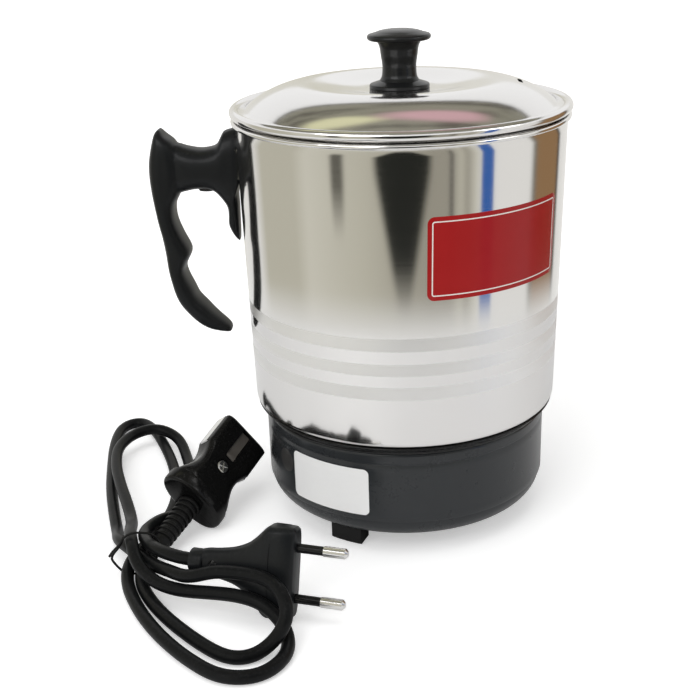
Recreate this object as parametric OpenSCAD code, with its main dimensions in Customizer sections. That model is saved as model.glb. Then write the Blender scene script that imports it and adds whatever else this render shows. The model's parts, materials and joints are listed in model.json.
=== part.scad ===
// Electric heating cup: steel cup on a heated base, with lid, side handle, and a separate cord set.
// The base stands on z = 0. The handle points to -X and the power inlet to +Y.

/* [Cup] */
// Outer radius of the cup at the rim
cup_r = 65; // [60:0.5:72]
// How much narrower the cup is at its bottom
cup_taper = 2.2; // [0:0.2:4]
// Height of the cup, from its bottom to the top of the rim
cup_height = 116.6; // [100:1:150]
// Sheet thickness of the cup
cup_wall = 0.6; // [0.4:0.1:1]
// Radius of the bend between the wall and the bottom of the cup
cup_bend_r = 2.5; // [1.5:0.5:5]
// Radius of the rolled rim
rim_bead_r = 1; // [0.8:0.05:1.3]

/* [Lid] */
// Sheet thickness of the lid
lid_wall = 0.6; // [0.5:0.1:0.8]
// Radius of the curl round the edge of the lid
lid_curl_r = 1.9; // [1.6:0.1:2.4]
// How far the curl reaches outside the rolled rim
lid_overhang = 0.4; // [0:0.05:1]
// Gap between the lid and the rim it rests over
lid_gap = 0.6; // [0.3:0.1:1]
// Width of the flat ring between the curl and the crown
lid_flat_w = 3; // [2:0.5:5]
// Height of the crown over the flat ring
crown_height = 10.3; // [6:0.5:16]
// Depth of the dish in the middle of the crown
dish_depth = 4; // [2:0.5:5]
// Radius of the dish
dish_r = 30; // [22:1:36]
// Depth of the locating ring that reaches into the cup
lid_ring_depth = 7; // [4:0.5:12]
// Room between the locating ring and the wall of the cup
lid_ring_gap = 1; // [0.6:0.1:1.6]
// Length of the steam slot
steam_slot_length = 9; // [6:0.5:12]
// Width of the steam slot
steam_slot_width = 1.8; // [1.2:0.1:3]
// Distance of the steam slot from the axis
steam_slot_place = 46.5; // [40:0.5:50]

/* [Knob] */
// Radius of the foot of the knob
knob_foot_r = 11.7; // [10:0.5:14]
// Radius of the waist of the knob
knob_waist_r = 6.6; // [5.5:0.2:8]
// Radius of the cap of the knob
knob_cap_r = 12.3; // [10:0.5:14]
// Height of the knob
knob_height = 22; // [18:0.5:28]
// Radius of the knob's screw
knob_screw_r = 2; // [1.5:0.1:2.5]

/* [Handle] */
// How far the handle reaches out from the cup
handle_reach = 36; // [30:0.5:42]
// Height of the handle, from its lower tip to its upper tip
handle_height = 86; // [75:1:95]
// Thickness of the handle
handle_thickness = 17; // [14:0.5:20]
// Drop from the rim to the upper tip of the handle
handle_drop = 4.3; // [3:0.1:8]
// Width of the steel tongue that carries the handle
tongue_width = 12; // [8:0.5:14]
// Thickness of the tongue and its foot
tongue_thickness = 1.6; // [1:0.1:2.4]
// Radius of the handle screw
handle_screw_r = 2; // [1.5:0.1:2.5]

/* [Base] */
// How far the base stands in from the foot of the cup
base_inset = 4; // [2:0.5:6]
// Height of the base housing
base_height = 38; // [34:0.5:48]
// Wall of the base housing
base_wall = 2.5; // [2:0.1:3.5]
// Radius of the rounding round the bottom of the base
base_round_r = 8; // [6:0.5:10]
// Height of the ring between the base and the cup
collar_height = 4; // [3:0.5:7]
// Height of the feet
foot_height = 7.5; // [4:0.5:12]
// Angle that each foot covers
foot_angle = 15; // [10:1:24]
// Direction of the first foot
foot_turn = -118; // [-130:1:-110]
// Thickness of the bottom cover
cover_thickness = 1.5; // [1.2:0.1:2.5]

/* [Heater] */
// Thickness of the aluminium heat plate under the cup
heat_plate_thickness = 2; // [1.5:0.1:3]
// Radius of the tube of the heating element
element_tube_r = 3.2; // [2.8:0.1:3.6]
// Distance from the edge of the heat plate to the ring of the heating element
element_inset = 16.3; // [14.5:0.1:20]
// Thickness of the insulation sheet
insulation_thickness = 1.2; // [0.8:0.1:2]
// Thickness of the clamp plate
clamp_thickness = 1.2; // [1:0.1:2]
// Radius of the centre stud
stud_r = 2.5; // [2:0.1:3]
// Radius of the thermostat
thermostat_r = 8; // [6:0.5:9]

/* [Inlet and cord set] */
// Radius of an inlet pin
inlet_pin_r = 2.4; // [2:0.1:2.6]
// Distance between the two inlet pins, and between the two sockets
pin_pitch = 13.5; // [13:0.1:14]
// Width of the nose of the connector
nose_width = 24; // [23:0.5:26]
// Thickness of the nose of the connector
nose_thickness = 12; // [11:0.5:13]
// Depth of the inlet
inlet_depth = 20; // [19:0.5:22]
// Wall of the inlet block
inlet_wall = 2.5; // [2:0.1:3]
// Diameter of the cord
cord_d = 5; // [4.8:0.1:5.2]
// Radius of the bore of a connector socket
socket_r = 2.5; // [2.1:0.1:2.7]
// Wall of a socket tube
socket_wall = 0.6; // [0.5:0.1:0.7]
// Radius of a plug pin
plug_pin_r = 2; // [1.8:0.1:2.2]
// Length of a plug pin
plug_pin_length = 19; // [17:0.5:20]
// Distance between the plug pins
plug_pitch = 18.6; // [18:0.1:19.4]

/* [Hidden] */
$fn = 96;
eps = 0.01;

// ---- Levels and radii that follow from the sizes above ----
base_z = foot_height;
collar_z = base_z + base_height;
cup_z = collar_z + collar_height;
rim_z = cup_z + cup_height;
cup_foot_r = cup_r - cup_taper;
function cup_r_at(z) = cup_foot_r + cup_taper * (z - cup_z) / cup_height;
rim_r = cup_r - cup_wall + 2 * rim_bead_r;
lid_r = rim_r + lid_overhang;
curl_z = rim_z + lid_gap + lid_curl_r;
flat_z = curl_z + 0.6;
crown_r = lid_r - 2 * lid_curl_r - lid_flat_w + 1;
// The origin lies midway between the end of the handle and the far side of the lid
axis_x = (handle_reach + cup_r - lid_r) / 2;

base_r = cup_foot_r - base_inset;
cover_r = base_r - base_round_r - 0.2;
plate_z = cup_z - heat_plate_thickness;
element_h = 2 * element_tube_r - 1;
insulation_z = plate_z - element_h - insulation_thickness;
clamp_z = insulation_z - clamp_thickness;
plate_r = base_r - base_wall - 6;
element_ring_r = plate_r - element_inset;
post_place = plate_r - 7;
post_angles = [-90, 30, 150];
post_bore_r = 2.1;
cover_screw_r = 1.9;
post_r = 5.2;
screw_head_r = 3.6;
screw_head_h = 2.2;
screw_recess = 5;
element_gap = 20;
thermostat_x = -15;
thermostat_z = clamp_z - 2;
tab_place = 5;
tab_t = 0.8;
tab_w = 6.2;
tab_length = 8;
terminal_r = 1.4;
terminal_length = 6;
terminal_z = clamp_z - terminal_length;
fuse_r = 2;
fuse_length = 12;
fuse_place = [27, 8];
fuse_z = clamp_z - fuse_r - 0.1;
earth_place = 10;
nut_h = 3.6;
nut_r = 4.6;

nose_gap = 0.8;
inlet_width = nose_width + 2 * nose_gap + 0.4;
inlet_inner_height = nose_thickness + 2 * nose_gap;
inlet_z = base_z + 18.5;
inlet_y = base_r + 3;
inlet_floor_y = inlet_y - inlet_depth;
inlet_back = 5;
inlet_back_y = inlet_floor_y - inlet_back;
inlet_flange = 2.5;
pin_stick = 17;
pin_tail = 5;
inlet_stem_r = inlet_pin_r - 0.5;
earth_strip_t = 0.8;
earth_strip_tail = 7;
earth_strip_w = 6;
lead_r = 1.1;
lead_run = 6;
lead_room = 0.4;

// ---- Helpers ----
// Points of an arc in a plane
function arc(x, y, r, a0, a1, n) =
    [for (i = [0 : n]) let (a = a0 + (a1 - a0) * i / n) [x + r * cos(a), y + r * sin(a)]];

// Smooth curve through points, with steps points for each stretch
function spline_at(a, b, c, d, t) = 0.5 *
    (2 * b + (c - a) * t + (2 * a - 5 * b + 4 * c - d) * t * t + (3 * b - a - 3 * c + d) * t * t * t);
function spline(p, steps) = let (last = len(p) - 1) [
    for (i = [0 : last - 1], k = [0 : steps - 1])
        spline_at(i == 0 ? 2 * p[0] - p[1] : p[i - 1], p[i], p[i + 1],
            i + 2 > last ? 2 * p[last] - p[last - 1] : p[i + 2], k / steps),
    p[last]];

// Outline of a rounded rectangle as a superellipse, with half sizes a and b
function power(v, e) = sign(v) * pow(abs(v), e);
function super_ring(a, b, k, n) = [for (i = [0 : n - 1]) let (t = 360 * (i + 0.5) / n)
    [a * power(cos(t), 2 / k), b * power(sin(t), 2 / k)]];

// Solid through a row of rings that have the same number of points
module loft(rings) {
    n = len(rings[0]);
    m = len(rings);
    sides = [for (i = [0 : m - 2], j = [0 : n - 1], h = [0 : 1]) let (k = (j + 1) % n)
        h == 0 ? [i * n + j, i * n + k, (i + 1) * n + k] : [i * n + j, (i + 1) * n + k, (i + 1) * n + j]];
    first = [[for (j = [n - 1 : -1 : 0]) j]];
    last = [[for (j = [0 : n - 1]) (m - 1) * n + j]];
    polyhedron([for (r = rings, p = r) p], concat(sides, first, last), convexity = 8);
}

// Direction of a path at each point, and a side direction carried along it without twist
function unit(v) = v / norm(v);
function tangents(p) = [for (i = [0 : len(p) - 1])
    unit(p[min(i + 1, len(p) - 1)] - p[max(i - 1, 0)])];
function carried(t, i, s) = i == len(t) ? [] : let (next = unit(s - (s * t[i]) * t[i]))
    concat([next], carried(t, i + 1, next));
module tube(p, r, sides) {
    t = tangents(p);
    s = carried(t, 0, unit(cross(t[0], [0.1, 0.2, 1])));
    loft([for (i = [0 : len(p) - 1]) [for (k = [0 : sides - 1]) let (a = -360 * k / sides)
        p[i] + r * (cos(a) * s[i] + sin(a) * cross(t[i], s[i]))]]);
}

// Rectangle with round corners, in the plane
module rounded(w, h, r) {
    square([w - 2 * r, h], center = true);
    square([w, h - 2 * r], center = true);
    for (x = [-1, 1], y = [-1, 1]) translate([x * (w / 2 - r), y * (h / 2 - r)]) circle(r);
}

// Rounded block that runs along Y from y0 to y1
module block_y(w, h, r, y0, y1) {
    translate([0, y1, 0]) rotate([90, 0, 0]) linear_extrude(y1 - y0) rounded(w, h, r);
}

// Moves a child to the axis of the cup
module on_axis() { translate([axis_x, 0, 0]) children(); }

// ---- Cup ----
module cup() {
    inner_bend = cup_bend_r - cup_wall;
    outer = concat([[0, cup_z]],
        arc(cup_foot_r - cup_bend_r, cup_z + cup_bend_r, cup_bend_r, -90, 0, 8),
        [[cup_r_at(rim_z - rim_bead_r), rim_z - rim_bead_r]]);
    inner = concat([[cup_r_at(rim_z - rim_bead_r) - cup_wall, rim_z - rim_bead_r]],
        arc(cup_foot_r - cup_bend_r, cup_z + cup_bend_r, inner_bend, 0, -90, 8),
        [[0, cup_z + cup_wall]]);
    color("silver") on_axis() rotate_extrude() {
        polygon(concat(outer, inner));
        translate([rim_r - rim_bead_r, rim_z - rim_bead_r]) circle(rim_bead_r, $fn = 24);
    }
}

// ---- Lid ----
knob_seat_r = knob_foot_r + 0.5;
function dish(r) = dish_depth * (r <= knob_seat_r ? 1 : r < dish_r
    ? (1 + cos(180 * (r - knob_seat_r) / (dish_r - knob_seat_r))) / 2 : 0);
function crown(r) = flat_z + crown_height * (1 - pow(r / crown_r, 5)) - dish(r);
knob_z = crown(0);
crown_radii = concat([0], [for (i = [0 : 7]) knob_seat_r + (dish_r - knob_seat_r) * i / 8],
    [for (i = [0 : 14]) dish_r + (crown_r - dish_r) * i / 14]);
lid_flat_end = lid_r - 2 * lid_curl_r + lid_wall;
module lid_sheet(drop) {
    polygon(concat([[0, 0]], [for (r = crown_radii) [r, crown(r) - drop]],
        [[lid_flat_end, flat_z - drop], [lid_flat_end, 0]]));
}
module lid() {
    color("gainsboro") on_axis() difference() {
        union() {
            rotate_extrude() difference() {
                lid_sheet(0);
                lid_sheet(lid_wall);
            }
            rotate_extrude() translate([lid_r - lid_curl_r, curl_z]) difference() {
                circle(lid_curl_r, $fn = 32);
                circle(lid_curl_r - lid_wall, $fn = 32);
                translate([-2 * lid_curl_r, -lid_curl_r])
                    square([2 * lid_curl_r, lid_curl_r + flat_z - lid_wall - curl_z]);
            }
        }
        cylinder(h = rim_z * 2, r = knob_screw_r + 0.2);
        translate([steam_slot_place, 0, 0]) linear_extrude(rim_z * 2)
            rounded(steam_slot_width, steam_slot_length, steam_slot_width / 2 - eps);
    }
}

lid_ring_r = cup_r - cup_wall - lid_ring_gap;
module lid_ring() {
    top = flat_z - lid_wall;
    color("gainsboro") on_axis() rotate_extrude()
        polygon([ [lid_ring_r, top], [lid_ring_r, rim_z - lid_ring_depth],
        [lid_ring_r - lid_wall, rim_z - lid_ring_depth], [lid_ring_r - lid_wall, top - lid_wall],
        [crown_r + 0.3, top - lid_wall], [crown_r + 0.3, top]]);
}

module lid_knob() {
    edge_r = 1.2;
    dome_r = knob_cap_r - 1.8;
    dome_h = 1.7;
    foot_h = 2.7;
    cap_h = 4.2;
    // Swelling of the stem over the waist, at shares of its height
    stem = [[1.1, 0], [0.2, 0.13], [0, 0.38], [0.5, 0.63], [1, 0.85], [2.1, 1]];
    profile = concat([[0, 0], [knob_foot_r, 0]],
        arc(knob_foot_r - 0.8, 0.8, 0.8, 0, 70, 4),
        spline([for (p = stem) [knob_waist_r + p[0], foot_h + (knob_height - foot_h - cap_h) * p[1]]], 3),
        arc(knob_cap_r - edge_r, knob_height - dome_h - edge_r, edge_r, -80, 60, 6),
        [for (i = [6 : -1 : 0]) [dome_r * i / 6, knob_height - dome_h * i * i / 36]]);
    color("dimgray") on_axis() translate([0, 0, knob_z]) difference() {
        rotate_extrude() polygon(profile);
        translate([0, 0, -1]) cylinder(h = knob_height * 0.62, r = knob_screw_r + 0.05);
    }
}

knob_washer_h = 0.8;
washer_z = knob_z - lid_wall - knob_washer_h - 0.05;
module knob_washer() {
    color("silver") on_axis() translate([0, 0, washer_z]) difference() {
        cylinder(h = knob_washer_h, r = 5);
        translate([0, 0, -1]) cylinder(h = 4, r = knob_screw_r + 0.2);
    }
}
module knob_screw() {
    color("silver") on_axis() translate([0, 0, washer_z]) {
        cylinder(h = lid_wall + knob_washer_h + knob_height * 0.55, r = knob_screw_r);
        translate([0, 0, -2]) cylinder(h = 2, r1 = 3, r2 = 3.8);
    }
}

// ---- Handle ----
// Places on the handle: distance out from the wall of the cup at the rim, and height over the lower tip,
// both as shares of the handle's reach and height, then the half thickness as a share.
// Each station of the grip has its outer and its inner point.
handle_foot_z = rim_z - handle_drop - handle_height;
function handle_point(u, v) = [axis_x - cup_r - handle_reach * u, handle_foot_z + handle_height * v];
function handle_ring(s) = let (
    p = handle_point(s[0], s[1]),
    q = handle_point(s[2], s[3]),
    m = (p + q) / 2,
    a = (p - q) / 2,
    t = handle_thickness / 2 * s[4])
    [for (c = super_ring(1, t, 2.8, 20)) [m[0] + a[0] * c[0], -c[1], m[1] + a[1] * c[0]]];
// Grip, from its upper tip round the back to its lower tip
grip_stations =
    [ [0.853, 1, 0.83, 0.992, 0.4], [0.903, 0.978, 0.783, 0.967, 0.72], [0.947, 0.922, 0.68, 0.93, 0.92],
    [0.986, 0.852, 0.62, 0.84, 1], [0.997, 0.78, 0.62, 0.76, 1], [0.986, 0.709, 0.68, 0.69, 1],
    [0.967, 0.647, 0.74, 0.64, 1], [0.939, 0.564, 0.742, 0.57, 1], [0.908, 0.49, 0.68, 0.493, 1],
    [0.889, 0.415, 0.6, 0.417, 1], [0.877, 0.36, 0.655, 0.362, 1], [0.866, 0.32, 0.684, 0.328, 1],
    [0.85, 0.279, 0.66, 0.285, 1], [0.817, 0.212, 0.6, 0.23, 1], [0.769, 0.16, 0.553, 0.185, 0.98],
    [0.683, 0.108, 0.46, 0.142, 0.94], [0.575, 0.06, 0.39, 0.108, 0.88], [0.464, 0.028, 0.31, 0.075, 0.78],
    [0.347, 0.012, 0.25, 0.053, 0.66], [0.26, 0.004, 0.205, 0.032, 0.52], [0.208, 0, 0.192, 0.015, 0.36]];
// Arm that joins the grip to the cup, and its tail down along the wall
arm_stations = [
    [0.66, 0.93, 0.66, 0.7, 0.9], [0.6, 0.919, 0.6, 0.706, 0.96], [0.5, 0.908, 0.5, 0.715, 1],
    [0.4, 0.903, 0.4, 0.716, 1], [0.3, 0.908, 0.33, 0.713, 1], [0.235, 0.918, 0.265, 0.7, 1],
    [0.2, 0.935, 0.215, 0.677, 1], [0.165, 0.962, 0.17, 0.65, 1], [0.12, 0.984, 0.14, 0.625, 0.98],
    [-0.05, 0.978, 0.135, 0.6, 0.96], [-0.05, 0.8, 0.137, 0.57, 0.93], [0.016, 0.71, 0.14, 0.545, 0.88],
    [0.018, 0.64, 0.125, 0.522, 0.8], [0.02, 0.57, 0.1, 0.498, 0.68], [0.022, 0.51, 0.065, 0.474, 0.52],
    [0.026, 0.464, 0.032, 0.458, 0.3]];
tongue_z = rim_z - 19;
tongue_reach = 18;
tongue_fit = 0.15;
seat_h = 12;
seat_angle = 13;
handle_screw_x = axis_x - cup_r - 13;
handle_head_z = handle_foot_z + 0.735 * handle_height;
handle_head_h = 2.4;
handle_head_r = 3.6;

// Piece of a shell round the cup at the handle, from a to b outside the wall
module wall_piece(z0, z1, a, b, angle) {
    on_axis() rotate([0, 0, 180 - angle / 2]) rotate_extrude(angle = angle) polygon([
        [cup_r_at(z0) + a, z0], [cup_r_at(z0) + b, z0], [cup_r_at(z1) + b, z1], [cup_r_at(z1) + a, z1]]);
}
module tongue(fit) {
    x0 = axis_x - cup_r_at(tongue_z) - tongue_reach - fit;
    translate([x0, -tongue_width / 2 - fit, tongue_z - fit])
        cube([tongue_reach - 0.4 + fit, tongue_width + 2 * fit, tongue_thickness + 2 * fit]);
}
module handle_bracket() {
    middle = tongue_z + tongue_thickness / 2;
    color("silver") difference() {
        union() {
            wall_piece(middle - seat_h / 2, middle + seat_h / 2, 0, tongue_thickness, seat_angle);
            tongue(0);
        }
        translate([handle_screw_x, 0, tongue_z - 1])
            cylinder(h = tongue_thickness + 2, r = handle_screw_r + 0.05);
    }
}
module handle() {
    middle = tongue_z + tongue_thickness / 2;
    seat = seat_h / 2 + tongue_fit;
    low = handle_foot_z;
    color("dimgray") difference() {
        union() {
            loft([for (s = grip_stations) handle_ring(s)]);
            loft([for (i = [len(arm_stations) - 1 : -1 : 0]) handle_ring(arm_stations[i])]);
        }
        on_axis() translate([0, 0, low])
            cylinder(h = rim_z - low, r1 = cup_r_at(low) + 0.05, r2 = cup_r + 0.05);
        wall_piece(middle - seat, middle + seat, -2, tongue_thickness + tongue_fit, seat_angle + 0.4);
        tongue(tongue_fit);
        translate([handle_screw_x, 0, handle_head_z])
            cylinder(h = tongue_z + 6 - handle_head_z, r = handle_screw_r + 0.1);
        translate([handle_screw_x, 0, low]) cylinder(h = handle_head_z - low, r = handle_head_r + 0.3);
    }
}
module handle_screw() {
    color("silver") translate([handle_screw_x, 0, handle_head_z]) {
        cylinder(h = tongue_z + tongue_thickness + 2 - handle_head_z, r = handle_screw_r);
        translate([0, 0, -handle_head_h]) cylinder(h = handle_head_h, r = handle_head_r);
    }
}

// ---- Base ----
module collar_ring() {
    top_r = cup_foot_r - 0.5;
    low_r = base_r + 0.7;
    in_r = plate_r + 0.8;
    color("black") on_axis() rotate_extrude()
        polygon(concat( [[in_r, cup_z], [top_r - 0.6, cup_z], [top_r, cup_z - 0.6]],
        arc(low_r - 1, collar_z + 1, 1, 0, -90, 4),
        [[base_r - base_wall - 0.15, collar_z], [base_r - base_wall - 0.15, collar_z - 3],
            [in_r, collar_z - 3]]));
}

module base_housing() {
    ledge_r = cover_r - 2;
    inner_round = base_round_r - base_wall;
    round_x = base_r - base_round_r;
    round_z = base_z + base_round_r;
    edge = 1.2;
    color("darkslategray") difference() {
        on_axis() rotate_extrude() polygon(concat(
            [[cover_r + 0.2, base_z]],
            arc(round_x, round_z, base_round_r, -89, 0, 10),
            arc(base_r - edge, collar_z - edge, edge, 0, 90, 4),
            [[base_r - base_wall, collar_z]],
            arc(round_x, round_z, inner_round, 0, -89, 8),
            [[ledge_r, base_z + base_wall], [ledge_r, base_z + cover_thickness],
                [cover_r + 0.2, base_z + cover_thickness]]));
        translate([axis_x, 0, inlet_z])
            block_y(inlet_out_w + 0.4, inlet_out_h + 0.4, 3.2, base_r / 2, base_r + 9);
    }
}

module at_posts()
    { on_axis() for (a = post_angles) rotate([0, 0, a]) translate([post_place, 0, 0]) children(); }
module bottom_cover() {
    color("darkslategray") difference() {
        union() {
            on_axis() translate([0, 0, base_z]) cylinder(h = cover_thickness, r = cover_r);
            at_posts() translate([0, 0, base_z]) cylinder(h = clamp_z - 0.3 - base_z, r = post_r);
        }
        at_posts() cylinder(h = cup_z, r = post_bore_r);
        at_posts() cylinder(h = base_z + screw_recess, r = screw_head_r + 0.4);
        at_feet() cylinder(h = cup_z, r = foot_peg_r + 0.1);
    }
}
module cover_screws() {
    head_z = base_z + screw_recess - screw_head_h;
    color("silver") at_posts() {
        translate([0, 0, head_z]) cylinder(h = screw_head_h, r = screw_head_r);
        translate([0, 0, head_z]) cylinder(h = clamp_z + clamp_thickness + 2 - head_z, r = cover_screw_r);
    }
}

foot_peg_r = 2;
foot_peg_place = base_r - 12;
module at_feet() {
    on_axis() for (i = [0 : 2]) rotate([0, 0, foot_turn + 120 * i]) translate([foot_peg_place, 0, 0])
        children();
}
module feet() {
    foot_out = base_r - base_round_r + 1.6;
    foot_in = base_r - 15;
    color("darkslategray") {
        on_axis() for (i = [0 : 2]) rotate([0, 0, foot_turn + 120 * i - foot_angle / 2])
            rotate_extrude(angle = foot_angle) polygon([[foot_in, 0], [foot_out - 0.8, 0], [foot_out, 0.8],
                [foot_out, base_z - 0.1], [foot_out - 2, base_z], [foot_in, base_z]]);
        at_feet() translate([0, 0, base_z - 1]) cylinder(h = cover_thickness + 1.4, r = foot_peg_r);
    }
}

// ---- Heater ----
module heat_plate() {
    color("lightgray") on_axis() {
        translate([0, 0, plate_z]) cylinder(h = heat_plate_thickness, r = plate_r);
        translate([0, 0, clamp_z - nut_h - 2]) cylinder(h = plate_z - clamp_z + nut_h + 2.5, r = stud_r);
    }
}
element_z = plate_z - element_h / 2;
module at_terminals() {
    on_axis() for (s = [-1, 1]) rotate([0, 0, 90 + s * element_gap]) translate([element_ring_r, 0, 0])
        children();
}
module heating_element() {
    color("gray") {
        on_axis() rotate([0, 0, 90 + element_gap]) rotate_extrude(angle = 360 - 2 * element_gap)
            translate([element_ring_r, element_z]) intersection() {
                circle(element_tube_r, $fn = 24);
                square([4 * element_tube_r, element_h], center = true);
            }
        at_terminals() translate([0, 0, terminal_z]) cylinder(h = element_z - terminal_z, r = terminal_r);
    }
}
// Openings that the sheet and the plate share
module heater_holes(room) {
    on_axis() cylinder(h = cup_z, r = stud_r + room);
    at_terminals() cylinder(h = cup_z, r = terminal_r + room + 1);
    translate([axis_x + thermostat_x, 0, 0]) cylinder(h = cup_z, r = thermostat_r + 0.6);
}
module insulation_sheet() {
    color("wheat") difference() {
        on_axis() translate([0, 0, insulation_z]) cylinder(h = insulation_thickness, r = plate_r - 1);
        heater_holes(0.3);
        at_posts() cylinder(h = cup_z, r = cover_screw_r + 0.6);
    }
}
module clamp_plate() {
    color("silver") difference() {
        on_axis() translate([0, 0, clamp_z]) cylinder(h = clamp_thickness, r = plate_r);
        heater_holes(0.2);
        at_posts() cylinder(h = cup_z, r = cover_screw_r + 0.1);
    }
}
module centre_nut() {
    color("silver") on_axis() translate([0, 0, clamp_z - nut_h]) difference() {
        cylinder(h = nut_h, r = nut_r, $fn = 6);
        translate([0, 0, -1]) cylinder(h = nut_h + 2, r = stud_r + 0.05);
    }
}
module thermostat() {
    color("white") translate([axis_x + thermostat_x, 0, 0]) {
        translate([0, 0, thermostat_z]) cylinder(h = plate_z - thermostat_z, r = thermostat_r);
        for (s = [-1, 1]) translate([s * tab_place - tab_t / 2, -tab_w / 2, thermostat_z - tab_length])
            cube([tab_t, tab_w, tab_length + 0.5]);
    }
}
module thermal_fuse() {
    color("khaki") translate([axis_x + fuse_place[0], fuse_place[1] + fuse_length / 2, fuse_z])
        rotate([90, 0, 0])
        cylinder(h = fuse_length, r = fuse_r);
}

// ---- Inlet ----
inlet_out_w = inlet_width + 2 * inlet_wall;
inlet_out_h = inlet_inner_height + 2 * inlet_wall;
module at_inlet() { translate([axis_x, 0, inlet_z]) children(); }
module at_inlet_pins() { at_inlet() for (s = [-1, 1]) translate([s * pin_pitch / 2, 0, 0]) children(); }
module earth_strip(fit) {
    at_inlet() for (s = [-1, 1])
        translate([s * (inlet_width - earth_strip_t) / 2 - earth_strip_t / 2 - fit,
            inlet_back_y - earth_strip_tail - fit,
            -earth_strip_w / 2 - fit])
            cube([earth_strip_t + 2 * fit, inlet_back + pin_stick + earth_strip_tail - 2 + fit,
                earth_strip_w + 2 * fit]);
}
module inlet_block() {
    flange_y = sqrt(pow(base_r - base_wall, 2) - pow(inlet_out_w / 2 + 3, 2)) - inlet_flange - 0.4;
    color("black") difference() {
        at_inlet() {
            block_y(inlet_out_w, inlet_out_h, 3, inlet_back_y, inlet_y);
            block_y(inlet_out_w + 6, inlet_out_h + 2, 3, flange_y, flange_y + inlet_flange);
        }
        at_inlet() block_y(inlet_width, inlet_inner_height, 2, inlet_floor_y, inlet_y + 1);
        at_inlet_pins() translate([0, inlet_floor_y + 1, 0]) rotate([90, 0, 0])
            cylinder(h = inlet_back + 2, r = inlet_stem_r + 0.05);
        earth_strip(0.05);
    }
}
module inlet_pins() {
    tip = 1;
    color("gold") at_inlet_pins() {
        translate([0, inlet_floor_y, 0]) rotate([90, 0, 0])
            cylinder(h = inlet_back + pin_tail, r = inlet_stem_r);
        translate([0, inlet_floor_y + pin_stick - tip, 0]) rotate([90, 0, 0])
            cylinder(h = pin_stick - tip, r = inlet_pin_r);
        translate([0, inlet_floor_y + pin_stick, 0]) rotate([90, 0, 0])
            cylinder(h = tip, r1 = inlet_pin_r - tip, r2 = inlet_pin_r);
    }
}
module earth_contacts() {
    color("silver") earth_strip(0);
}

// ---- Inner leads: neutral pin to fuse to element, live pin to thermostat to element, and the earth ----
pin_end_y = inlet_back_y - pin_tail - lead_room;
strip_end_y = inlet_back_y - earth_strip_tail - lead_room;
pin_x = pin_pitch / 2;
strip_x = (inlet_width - earth_strip_t) / 2;
element_x = element_ring_r * sin(element_gap);
element_y = element_ring_r * cos(element_gap);
lead_top = terminal_z - lead_room;
tab_end_z = thermostat_z - tab_length - lead_room;
fuse_rear = [fuse_place[0], fuse_place[1] + fuse_length / 2 + lead_room, fuse_z];
fuse_front = [fuse_place[0], fuse_place[1] - fuse_length / 2 - lead_room, fuse_z];
// Places beside the axis of the cup
lead_paths = [
    [[pin_x, pin_end_y, inlet_z], [pin_x, pin_end_y - lead_run, inlet_z], fuse_rear + [0, lead_run, 0],
        fuse_rear],
    [fuse_front, fuse_front - [0, lead_run, 0],
        [(fuse_front[0] + element_x + lead_run) / 2, element_y / 3, fuse_z - 2.5 * lead_run],
        [element_x + lead_run, element_y - lead_run, lead_top - 0.6 * lead_run],
        [element_x, element_y, lead_top - 0.3 * lead_run], [element_x, element_y, lead_top]],
    [[-pin_x, pin_end_y, inlet_z], [-pin_x, pin_end_y - lead_run, inlet_z],
        [thermostat_x + tab_place, 0, tab_end_z - lead_run], [thermostat_x + tab_place, 0, tab_end_z]],
    [[thermostat_x - tab_place, 0, tab_end_z], [thermostat_x - tab_place, 0, tab_end_z - lead_run],
        [-element_x - lead_run, element_y - lead_run, lead_top - 0.6 * lead_run],
        [-element_x, element_y, lead_top - 0.3 * lead_run], [-element_x, element_y, lead_top]],
    [[strip_x, strip_end_y, inlet_z], [strip_x, strip_end_y - lead_run, inlet_z],
        [earth_place, 0, clamp_z - lead_room - lead_run], [earth_place, 0, clamp_z - lead_room]]];
module inner_leads() {
    color("firebrick") on_axis() for (p = lead_paths) tube(spline(p, 3), lead_r, 6);
}

// ---- Connector ----
// In its own frame the nose ends at x = 0 and points to +X, and the two halves meet in the plane z = 0.
connector_turn = [55, -17, 65];
connector_tip = [axis_x - 71.7, 1.05, 25.5];
connector_dir =
    [cos(connector_turn[2]) * cos(connector_turn[1]), sin(connector_turn[2]) * cos(connector_turn[1]),
    -sin(connector_turn[1])];
// Stations: place, half width and half thickness over those of the nose, and squareness
connector_stations =
    [[0, -0.6, -0.6, 6], [-0.6, 0, 0, 7], [-16, 0, 0, 7], [-20, -1.6, 0, 6], [-24, -2.2, 0.3, 5],
    [-28, -1.6, 0.8, 4.4], [-32, 0, 1.2, 4], [-35, 1.6, 1.6, 3.4], [-36.6, 2.4, 2, 2.8], [-37, 3, 2.4, 2.4],
    [-38, 3.2, 2.6, 2.3], [-42, 3.2, 2.6, 2.3], [-43.4, 2, 1.6, 2.3]];
socket_depth = 18.5;
recess_length = 14;
recess_width = 5;
recess_floor = 2.6;
connector_screw_x = -22.5;
connector_screw_r = 1.4;
connector_head_r = 2.9;
connector_head_z = nose_thickness / 2 - 1.2;
connector_back_x = -43.4;
strip_t = 0.8;
strip_proud = 0.15;
strip_w = 5;
strip_length = 16;
sleeve_flange_r = 6;
sleeve_flange_h = 2.5;
sleeve_flange_x = connector_back_x + 1.6;
sleeve_neck_r = 4.2;
sleeve_r = 4.9;
sleeve_tip_r = 3.9;
sleeve_length = 27;
rib_pitch = 4;
sleeve_end_x = connector_back_x - sleeve_length;
cord_r = cord_d / 2;
cord_start_x = -31;

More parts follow.
